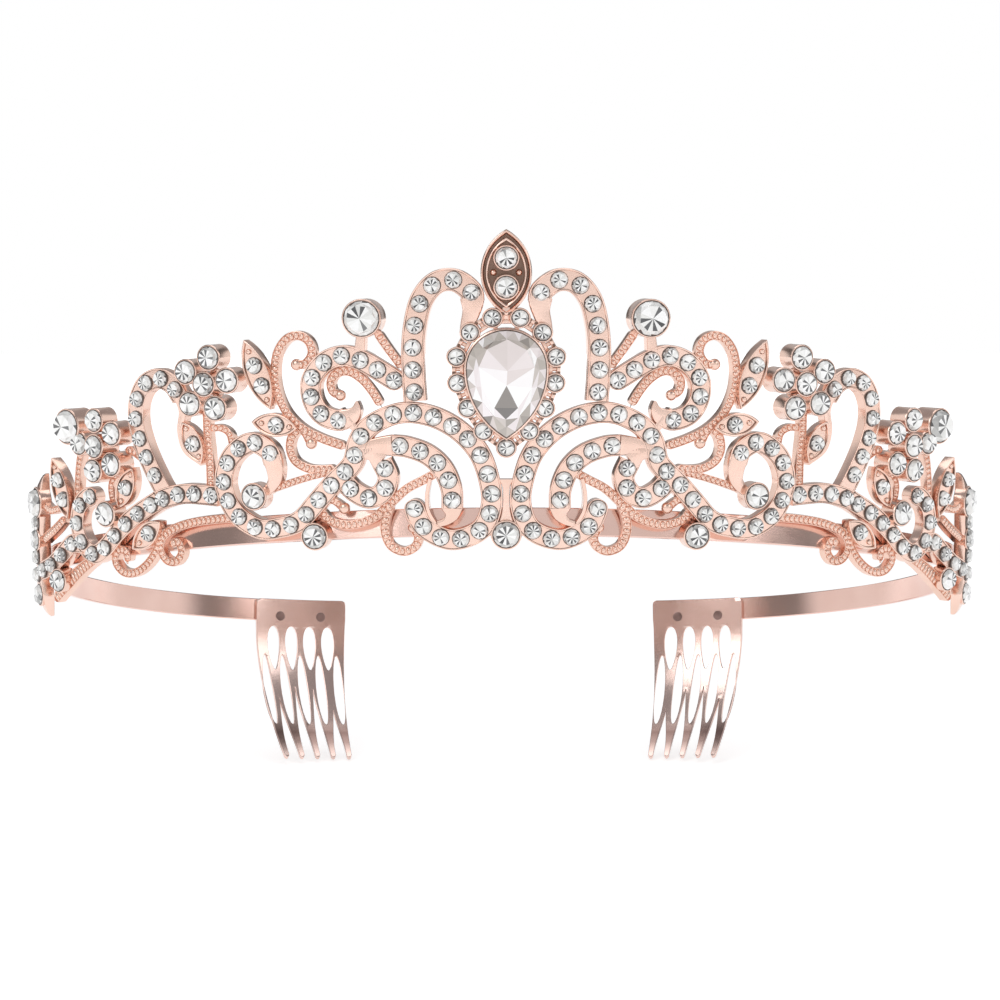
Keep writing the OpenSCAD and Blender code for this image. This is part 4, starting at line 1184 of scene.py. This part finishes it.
def all_leaf_stones(piece, seed):
    for k, spot in enumerate(LEAVES + [VINE_LEAF]):
        leaf_stones(piece, spot, seed + k)


def flower_stones(piece, seed):
    for k, spot in enumerate(FLOWER):
        cup_stone(piece, spot, seed + k)


STONE_SETS = {
    "arch_stones": lambda piece, seed: stones_along(piece, ARCH, 1.2, 1.2, ARCH_GAP, seed),
    "main_scroll_stones": main_scroll_stones,
    "inner_scroll_stones": inner_scroll_stones,
    "comma_scroll_stones": lambda piece, seed: stones_along(piece, COMMA, seed=seed),
    "ball_stones": lambda piece, seed: cup_stone(piece, BALL, seed),
    "leaf_stones": all_leaf_stones,
    "flower_stones": flower_stones,
    "heart_loop_stones": heart_loop_stones,
    "side_scroll_stones": side_scroll_stones,
    "side_sprig_stones": side_sprig_stones,
    "end_motif_stones": end_motif_stones,
}


def mirror_of(piece):
    """The same shapes on the other half, turned the right way out again."""
    other = Piece()
    other.points = [p * (-1, 1, 1) for p in piece.points]
    other.faces = [tuple(reversed(f)) for f in piece.faces]
    other.finishes, other.tones, other.size = piece.finishes, piece.tones, piece.size
    return other


def merged(*pieces):
    whole = Piece()
    for piece in pieces:
        whole.points += piece.points
        whole.faces += [tuple(i + whole.size for i in f) for f in piece.faces]
        whole.finishes += piece.finishes
        whole.tones += piece.tones
        whole.size += piece.size
    return whole


for k, (name, build) in enumerate(STONE_SETS.items()):
    right, left = Piece(), Piece()
    build(right, 100 + 40 * k)
    build(left, 1100 + 40 * k)
    both = merged(right, mirror_of(left))
    if name == "main_scroll_stones":
        middle = Piece()
        cup_stone(middle, BASE_BEZEL, 7)
        both = merged(both, middle)
    finish_piece(f"{name}_set", both, bend_panel, [name], faceted=True)


# ---- Centre: pear drop, halo, finial and stem ----


def pear_cup():
    piece = Piece()
    foot, rim = BACK, BACK + 3.6
    points, faces = stack([
        pear_loop(0.3, foot), pear_loop(0.34, foot + 0.2), pear_loop(0.3, foot + 0.5), pear_loop(0.3, rim - 0.35),
        pear_loop(0.33, rim - 0.2), pear_loop(0.28, rim - 0.05), pear_loop(0.16, rim), pear_loop(0.02, rim - 0.06),
        pear_loop(-0.03, rim - 0.5),
    ])
    piece.add(points + (0, PEAR_V, 0), faces, "cast")
    # Dark ring of painted shadow round the pear stone
    points, faces = ring_skin([
        pear_loop(-0.05, rim - 0.2), pear_loop(0.08, rim - 0.2), pear_loop(0.08, rim), pear_loop(-0.05, rim + 0.06),
    ])
    piece.add(points + (0, PEAR_V, 0), faces, "seat")
    finish_piece("pear_cup_cast", piece, bend_panel, ["pear_cup"])


def pear_stone():
    """Pear-cut stone: girdle facets, kites, stars, and the big facets seen through its table, painted on as split table
    facets; every facet carries a fixed painted brightness for its reflections.
    """
    piece = Piece()
    foot, girdle, table_z = BACK + 1.7, BACK + 3.7, BACK + 5.05
    rim = pear_loop(-0.04, 0, steps=8)[:, :2]
    count = len(rim)
    middle = rim[::2] * 0.82 + (0, -0.1)
    table = [
        (3.45, 0.3), (2.5, 2.5), (0.1, 3.9), (-2.4, 2.6), (-3.4, 0.3), (-3.1, -2.2), (-1.5, -6.1),
        (-0.1, -7.6), (1.4, -6.3), (3.1, -2.4),
    ]
    inner = [(0.1, -0.2), (0.0, -2.1), (1.4, -5.0), (-0.1, -6.5), (-1.5, -5.0)]
    points = (
        [(x, y, girdle) for x, y in rim] + [(x, y, girdle + 0.75) for x, y in middle]
        + [(x, y, table_z) for x, y in table] + [(x, y, table_z + 0.01) for x, y in inner]
        + [(x * 0.98, y * 0.98, foot) for x, y in rim]
    )
    m, t = count, count + len(middle)
    c = t + len(table)
    f = c + len(inner)
    rng = np.random.default_rng(11)
    faces, tones = [], []

    def facet(corners, tone):
        faces.append(tuple(corners))
        tones.append(min(1.0, max(0.0, tone)))

    def painted_reflection(k):
        """Painted reflections: rose-brown on the shoulders, white on the flanks."""
        height = middle[k % len(middle)][1] / 5
        return rng.uniform(0.22, 0.95) if height > 0.35 else rng.uniform(0.4, 1.0)

    half = len(middle)
    for k in range(half):
        a, b, d = 2 * k, (2 * k + 1) % count, (2 * k + 2) % count
        nxt = (k + 1) % half
        facet((a, b, m + k), painted_reflection(k) + rng.uniform(-0.2, 0.2))
        facet((b, d, m + nxt), painted_reflection(k) + rng.uniform(-0.2, 0.2))
        facet((b, m + nxt, m + k), painted_reflection(k))

    def bearing(corner):
        return math.atan2(corner[1] + 1, corner[0])

    def nearest(k):
        """The table corner that lies nearest in direction to a middle corner, to join them."""
        aim = bearing(middle[k % half])
        return min(range(len(table)), key=lambda i: abs(math.remainder(bearing(table[i]) - aim, math.tau)))

    for k in range(half):
        i, j = nearest(k), nearest(k + 1)
        facet((m + k, m + (k + 1) % half, t + i), painted_reflection(k))
        step = i
        while step != j:
            nxt = (step + 1) % len(table)
            facet((t + step, m + (k + 1) % half, t + nxt), painted_reflection(k) + 0.15)
            step = nxt
    # The facets seen through the table are painted: the table is split into flat facets, each with a fixed painted
    # brightness
    fan = [
        ((0, 1, 10), 0.8), ((1, 2, 10), 0.74), ((2, 3, 10), 0.7), ((3, 4, 10), 0.82), ((4, 11, 10), 0.95),
        ((0, 10, 11), 0.74), ((4, 5, 11), 0.99), ((5, 14, 11), 1.0), ((5, 6, 14), 0.97), ((6, 13, 14), 0.9),
        ((6, 7, 13), 0.6), ((7, 8, 13), 0.35), ((8, 12, 13), 0.93), ((8, 9, 12), 0.85), ((9, 11, 12), 1.0),
        ((9, 0, 11), 0.96), ((11, 14, 12), 0.22), ((14, 13, 12), 0.1),
    ]
    for corners, tone in fan:
        facet([t + i for i in corners], tone)
    for k in range(count):
        j = (k + 1) % count
        facet((k, f + k, f + j, j), 0.5)
    facet([f + k for k in range(count)][::-1], 0.5)
    piece.add(np.array(points, float) + (0, PEAR_V, 0), faces, "pear", tones)
    finish_piece("pear_stone_cut", piece, bend_panel, ["pear_stone"], faceted=True)


def halo_ring():
    return HALO + [(-u, v) for u, v in HALO[-2::-1]]


def halo_frame():
    """Thirteen cups joined by an outer and an inner rail, with cross bars and small square claws painted dark for
    shade.
    """
    piece = Piece()
    ring = halo_ring()
    rail_out, rail_half, claw_out, claw_half = 0.52, 0.25, 0.42, 0.17
    for k, (u, v) in enumerate(ring):
        cup(piece, (u, v, HALO_R, HALO_H))
        du, dv = u, v - PEAR_V
        reach = math.hypot(du, dv) - 4
        points, faces = soft_box(-min(1.9, reach), -0.5, -0.3, 0.3, BACK, BACK + 1.5)
        piece.add(turned(points, math.degrees(math.atan2(dv, du)), u, v), faces, "cast")
        a, b = ring[k], ring[(k + 1) % len(ring)]
        length = math.hypot(b[0] - a[0], b[1] - a[1])
        turn = math.degrees(math.atan2(b[1] - a[1], b[0] - a[0]))
        for side in (-rail_out, rail_out):
            start, end = HALO_R - 0.2, length - HALO_R + 0.2
            points, faces = soft_box(start, end, side - rail_half, side + rail_half, BACK, BACK + 1.7, 0.1)
            piece.add(turned(points, turn, a[0], a[1]), faces, "cast")
        points, faces = soft_box(length / 2 - rail_half, length / 2 + rail_half, -0.5, 0.5, BACK, BACK + 1.3)
        piece.add(turned(points, turn, a[0], a[1]), faces, "cast")
        # The small square claws are painted dark for shade
        for place in (length / 2 - claw_out, length / 2 + claw_out):
            points, faces = soft_box(place - claw_half, place + claw_half, 0.36, 0.7, BACK + 1.2, BACK + 2.1, 0.06)
            piece.add(turned(points, turn, a[0], a[1]), faces, "recess")
    finish_piece("halo_frame_cast", piece, bend_panel, ["halo_frame"])
    stones = Piece()
    for k, (u, v) in enumerate(ring):
        cup_stone(stones, (u, v, HALO_R, HALO_H), 500 + k, pale=0.0)
    finish_piece("halo_stones_set", stones, bend_panel, ["halo_stones"], faceted=True)


def finial():
    """Leaf-shaped plate with two rims, a floor painted dark for shade, two cups and two beads."""
    def loop(inset, z):
        return vesica_loop(FINIAL_L - 3.2 * inset, FINIAL_HALF - inset, BACK + z, 28)

    piece = Piece()
    points, faces = stack([
        loop(0, 0), loop(0, 1.7), loop(0.05, 1.85), loop(0.13, 1.9), loop(0.24, 1.88), loop(0.32, 1.75),
        loop(0.36, 0.75),
    ])
    piece.add(turned(points, 90, 0, FINIAL_V), faces, "cast")
    points, faces = ring_skin([
        loop(0.64, 0.7), loop(0.64, 1.5), loop(0.7, 1.66), loop(0.8, 1.7), loop(0.9, 1.64), loop(0.95, 1.5),
        loop(0.95, 0.7),
    ])
    piece.add(turned(points, 90, 0, FINIAL_V), faces, "cast")
    # The finial's floor, painted dark for shade
    points, faces = stack([loop(0.34, 0.7), loop(0.38, 0.86)])
    piece.add(turned(points, 90, 0, FINIAL_V), faces, "recess")
    for spot in FINIAL_STONES:
        cup(piece, spot)
    points, faces = soft_box(-0.5, 0.5, 26.8, 28.6, BACK, BACK + 1.4)
    piece.add(points, faces, "cast")
    finish_piece("finial_frame_cast", piece, bend_panel, ["finial_frame"])

    beads = Piece()
    for u in (-1.65, 1.65):
        points, faces = dome(0.45, 0.45, 0.62, 0, 20)
        beads.add(points + (u, 33.1, BACK + 0.8), faces, "bead")
    finish_piece("finial_beads_pair", beads, bend_panel, ["finial_beads"])

    stones = Piece()
    for k, spot in enumerate(FINIAL_STONES):
        cup_stone(stones, spot, 540 + k)
    finish_piece("finial_stones_set", stones, bend_panel, ["finial_stones"], faceted=True)


def centre_stem():
    piece = Piece()
    cup(piece, BASE_BEZEL)
    plates(piece, [(0, 5.9, 1), (0, 4.9, 0.5), (0, 3, 0.42), (0, 1.4, 0.6), (0, 0.1, 1)])
    finish_piece("centre_stem_cast", piece, bend_panel, ["centre_stem"])


pear_cup()
pear_stone()
halo_frame()
finial()
centre_stem()


# ---- Hoop and combs ----


def hoop():
    """Rolled strip with its edges eased, drawn as one long bent bar."""
    inner, outer, low, high = -BAND_T / 2, BAND_T / 2, -BAND_H / 2, BAND_H / 2
    ease, bulge, end_r = 0.14, 0.04, 0.5
    section = [
        (low + ease, inner), (high - ease, inner), (high - bulge, inner + bulge), (high, inner + ease),
        (high, outer - ease), (high - bulge, outer - bulge), (high - ease, outer), (low + ease, outer),
        (low + bulge, outer - bulge), (low, outer - ease), (low, inner + ease), (low + bulge, inner + bulge),
    ]
    ends = end_r * (1 - np.cos(np.linspace(0, math.pi / 2, 6)))
    s = np.linspace(-REAR_END + end_r, REAR_END - end_r, 321)
    s = np.concatenate([-REAR_END + ends[:-1], s, (REAR_END - ends[:-1])[::-1]])
    loops = []
    for place in s:
        gap = REAR_END - abs(place)
        short = 0.0 if gap >= end_r else end_r - math.sqrt(max(0.0, end_r**2 - (end_r - gap) ** 2))
        loops.append(np.array([(place, h * (1 - short / high), w) for h, w in section]))
    piece = Piece()
    points, faces = stack(loops)
    piece.add(points, faces, "strip")
    finish_piece("hoop_strip", piece, bend_hoop, ["headband"], sharp=18)


def lean(depth):
    return -TOOTH_LEAN * (np.clip(depth - CURL_TOP, 0, None) / (COMB_DROP - CURL_TOP)) ** 2


def comb_outline():
    """Outer edge of the flat comb and its holes, as lists of (x, minus depth)."""
    tip_half, tip, shoulder, split = 0.55, COMB_DROP - 0.55, 5.2, (20.0, 16.2, 15.8, 18.0)
    roots = [(i - (TEETH - 1) / 2) * TOOTH_GAP for i in range(TEETH)]
    side = COMB_W / 2 - 0.1

    def flank(root, start_half, start, sign):
        t = np.linspace(0, 1, 16)
        depth = start + (tip - start) * t
        half = start_half + (tip_half - start_half) * (3 * t**2 - 2 * t**3) ** 0.8
        return [(root + float(lean(d)) + sign * h, -d) for d, h in zip(depth, half)]

    def tip_round(root):
        a = np.linspace(math.pi, 2 * math.pi, 7)[1:-1]
        return [(root + float(lean(tip)) + tip_half * math.cos(k), -tip + tip_half * math.sin(k)) for k in a]

    edge = [(-COMB_W / 2, -BAND_H + 0.2), (-COMB_W / 2 + 0.05, -BAND_H - 0.2)]
    for i, root in enumerate(roots):
        left = (side + roots[0], shoulder) if i == 0 else (TOOTH_GAP / 2 - 0.02, split[i - 1])
        right = (side + roots[0], shoulder) if i == TEETH - 1 else (TOOTH_GAP / 2 - 0.02, split[i])
        edge += flank(root, left[0], left[1], -1) + tip_round(root) + flank(root, right[0], right[1], 1)[::-1]
    edge += [(COMB_W / 2 - 0.05, -BAND_H - 0.2), (COMB_W / 2, -BAND_H + 0.2)]
    edge += [(COMB_W / 2, -0.7), (COMB_W / 2 - 0.2, -0.2), (COMB_W / 2 - 0.7, 0)]
    edge += [(-COMB_W / 2 + 0.7, 0), (-COMB_W / 2 + 0.2, -0.2), (-COMB_W / 2, -0.7)]

    def hole(middle, depth, length, half, blunt):
        """Pointed below and rounded above."""
        t = np.arange(22) * 2 * math.pi / 22
        wide = half * np.sin(t) * (1 + blunt * np.cos(t))
        rise = length / 2 * np.cos(t)
        return [(middle + float(lean(depth - up)) + w, -depth + up) for up, w in zip(rise, wide)]

    holes = [hole(root + 0.1, 16.2, 12.6, 0.86, -0.15) for root in roots]
    holes += [hole((a + b) / 2, 8.7, 7.8, 1.08, 0.35) for a, b in zip(roots, roots[1:])]
    return edge, holes


def comb_sheet():
    """Stamped flat comb with eased edges, filled round its holes."""
    data = bpy.data.curves.new("comb_sheet", "CURVE")
    data.dimensions = "2D"
    data.fill_mode = "BOTH"
    ease = 0.08
    data.extrude = COMB_T / 2 - ease
    data.bevel_depth = ease
    data.bevel_resolution = 1
    data.offset = -ease
    edge, holes = comb_outline()
    for outline in [edge] + holes:
        add_line(data, outline).use_cyclic_u = True
    holder = bpy.data.objects.new("comb_sheet", data)
    bpy.context.scene.collection.objects.link(holder)
    mesh = bpy.data.meshes.new_from_object(holder.evaluated_get(bpy.context.evaluated_depsgraph_get()))
    bpy.data.objects.remove(holder)
    work = bmesh.new()
    work.from_mesh(mesh)
    bmesh.ops.remove_doubles(work, verts=work.verts, dist=0.0005)
    cuts = [((x, 0, 0), (1, 0, 0)) for x in np.arange(-COMB_W / 2 + 1, COMB_W / 2, 1.4)]
    cuts += [((0, -y, 0), (0, 1, 0)) for y in np.arange(1.3, COMB_DROP, 1.3)]
    for place, normal in cuts:
        everything = work.verts[:] + work.edges[:] + work.faces[:]
        bmesh.ops.bisect_plane(work, geom=everything, dist=0.0001, plane_co=place, plane_no=normal)
    bmesh.ops.recalc_face_normals(work, faces=work.faces)
    work.to_mesh(mesh)
    work.free()
    return mesh


def combs():
    for side, word in ((1, "right"), (-1, "left")):
        piece = Piece()
        mesh = comb_sheet()
        for v in mesh.vertices:
            v.co.z += COMB_T / 2
        piece.add_mesh(mesh, "comb")

        def place(points, side=side):
            bent = bend_comb(points * (side, 1, 1))
            return bent * (side, 1, 1)

        finish_piece(f"comb_{word}_sheet", piece, place, [f"comb_{word}"], side, sharp=22)


def weld_spots():
    """Two shallow dimples with raised lips on each comb's plate."""
    piece = Piece()
    for side in (1, -1):
        for x in (-WELD_X, WELD_X):
            points, faces = stack([
                circle_loop(0.85, -0.04, 24), circle_loop(0.82, 0.03, 24), circle_loop(0.66, 0.07, 24),
                circle_loop(0.4, 0.04, 24), circle_loop(0.15, 0.02, 24),
            ])
            along = side * (COMB_MID - x + points[:, 0])
            flat = np.column_stack([along, points[:, 1] - WELD_DROP, -(BAND_T / 2 + COMB_T) - points[:, 2]])
            piece.add(flat, faces, "weld")
    finish_piece("comb_weld_spots", piece, bend_hoop, ["comb_spot_welds"])


hoop()
combs()
weld_spots()

for helper in TOOLS:
    bpy.data.objects.remove(helper)


# ---- Floor, light and camera ----


SOFTBOX_AIM = (0, 0, 0.04)


def softbox(name, place, size, brightness):
    data = bpy.data.lights.new(name, "AREA")
    data.shape, data.size = "SQUARE", size
    data.energy = brightness * math.pi * size**2
    lamp = bpy.data.objects.new(name, data)
    bpy.context.scene.collection.objects.link(lamp)
    lamp.location = place
    lamp.rotation_euler = (Vector(SOFTBOX_AIM) - Vector(place)).to_track_quat("-Z", "Y").to_euler()


def stage():
    """Lit white table, three softboxes, and a white room with grey flags that the metal mirrors."""
    table_w, table_drop, near_glow, far_glow, near, far = 3, 0.0001, 0.56, 1.0, 0.35, 1.3
    bpy.ops.mesh.primitive_plane_add(size=table_w, location=(0, 0, -table_drop))
    floor = bpy.context.object
    floor.name = "lit_table"
    f = Finish("white_acrylic_table")
    haze = f.ramp(f.noise(f.object_place(), 3.0), (0.3, (0.74, 0.74, 0.74)), (0.7, (0.78, 0.78, 0.78)))
    # Lit from below, and more so towards the edges, where the softboxes don't reach
    reach = f.node("ShaderNodeVectorMath", operation="LENGTH")
    f.links.new(f.object_place(), reach.inputs[0])
    glow = f.between(reach.outputs["Value"], near_glow, far_glow, near, far)
    f.links.new(glow, f.skin.inputs["Emission Strength"])
    floor.data.materials.append(f.paint(haze, Roughness=0.7, Emission_Color=(1, 1, 1, 1)))

    softbox("key_softbox", (-0.5, -0.6, 0.65), 0.5, 2.0)
    softbox("fill_softbox", (0.65, -0.45, 0.5), 0.4, 1.4)
    softbox("top_softbox", (0, 0.1, 0.8), 0.5, 1.2)

    world = bpy.data.worlds.new("white_studio")
    bpy.context.scene.world = world
    world.use_nodes = True
    nodes, links = world.node_tree.nodes, world.node_tree.links
    split = nodes.new("ShaderNodeSeparateXYZ")
    links.new(nodes.new("ShaderNodeTexCoord").outputs["Generated"], split.inputs[0])

    def maths(operation, a, b=0.0):
        made = nodes.new("ShaderNodeMath")
        made.operation = operation
        for socket, value in zip(made.inputs, (a, b)):
            if isinstance(value, (int, float)):
                socket.default_value = value
            else:
                links.new(value, socket)
        return made.outputs[0]

    def greys(source, *stops):
        made = nodes.new("ShaderNodeValToRGB")
        made.color_ramp.elements.remove(made.color_ramp.elements[1])
        for k, (place, level) in enumerate(stops):
            stop = made.color_ramp.elements[0] if k == 0 else made.color_ramp.elements.new(place)
            stop.position = place
            stop.color = (level, level, level, 1)
        links.new(source, made.inputs["Fac"])
        return made.outputs["Color"]

    # Angle round the room, 0 behind the tiara and 1 behind the viewer
    round_room = maths("DIVIDE", maths("ARCTAN2", maths("ABSOLUTE", split.outputs["X"]), split.outputs["Y"]), math.pi)
    walls = greys(
        round_room, (0.0, 0.5), (0.1, 0.5), (0.13, 0.1), (0.23, 0.1), (0.27, 0.9), (0.55, 0.95), (0.6, 0.25),
        (0.67, 0.25), (0.72, 0.8), (1.0, 0.84),
    )
    ceiling = greys(split.outputs["Z"], (0.45, 0.0), (0.6, 1.0))
    mixed = nodes.new("ShaderNodeMix")
    mixed.data_type = "RGBA"
    links.new(ceiling, mixed.inputs["Factor"])
    links.new(walls, mixed.inputs["A"])
    mixed.inputs["B"].default_value = (0.34, 0.34, 0.35, 1)
    # The metal mirrors the flags, while the camera sees a plain wall
    seen = nodes.new("ShaderNodeMix")
    seen.data_type = "RGBA"
    links.new(nodes.new("ShaderNodeLightPath").outputs["Is Camera Ray"], seen.inputs["Factor"])
    links.new(mixed.outputs["Result"], seen.inputs["A"])
    seen.inputs["B"].default_value = (1, 1, 1, 1)
    links.new(seen.outputs["Result"], nodes["Background"].inputs["Color"])


def camera():
    data = bpy.data.cameras.new("camera")
    data.lens, data.sensor_width = 79.6, 36
    data.clip_start = 0.01
    eye = bpy.data.objects.new("camera", data)
    bpy.context.scene.collection.objects.link(eye)
    eye.location = (-0.00373, -0.29274 - float(ORIGIN[1]) * MM, 0.03628 - float(ORIGIN[2]) * MM)
    eye.rotation_euler = (math.radians(90 - 6.5), 0, math.radians(-0.573))
    bpy.context.scene.camera = eye


stage()
camera()
bpy.context.scene.view_settings.view_transform = "Standard"
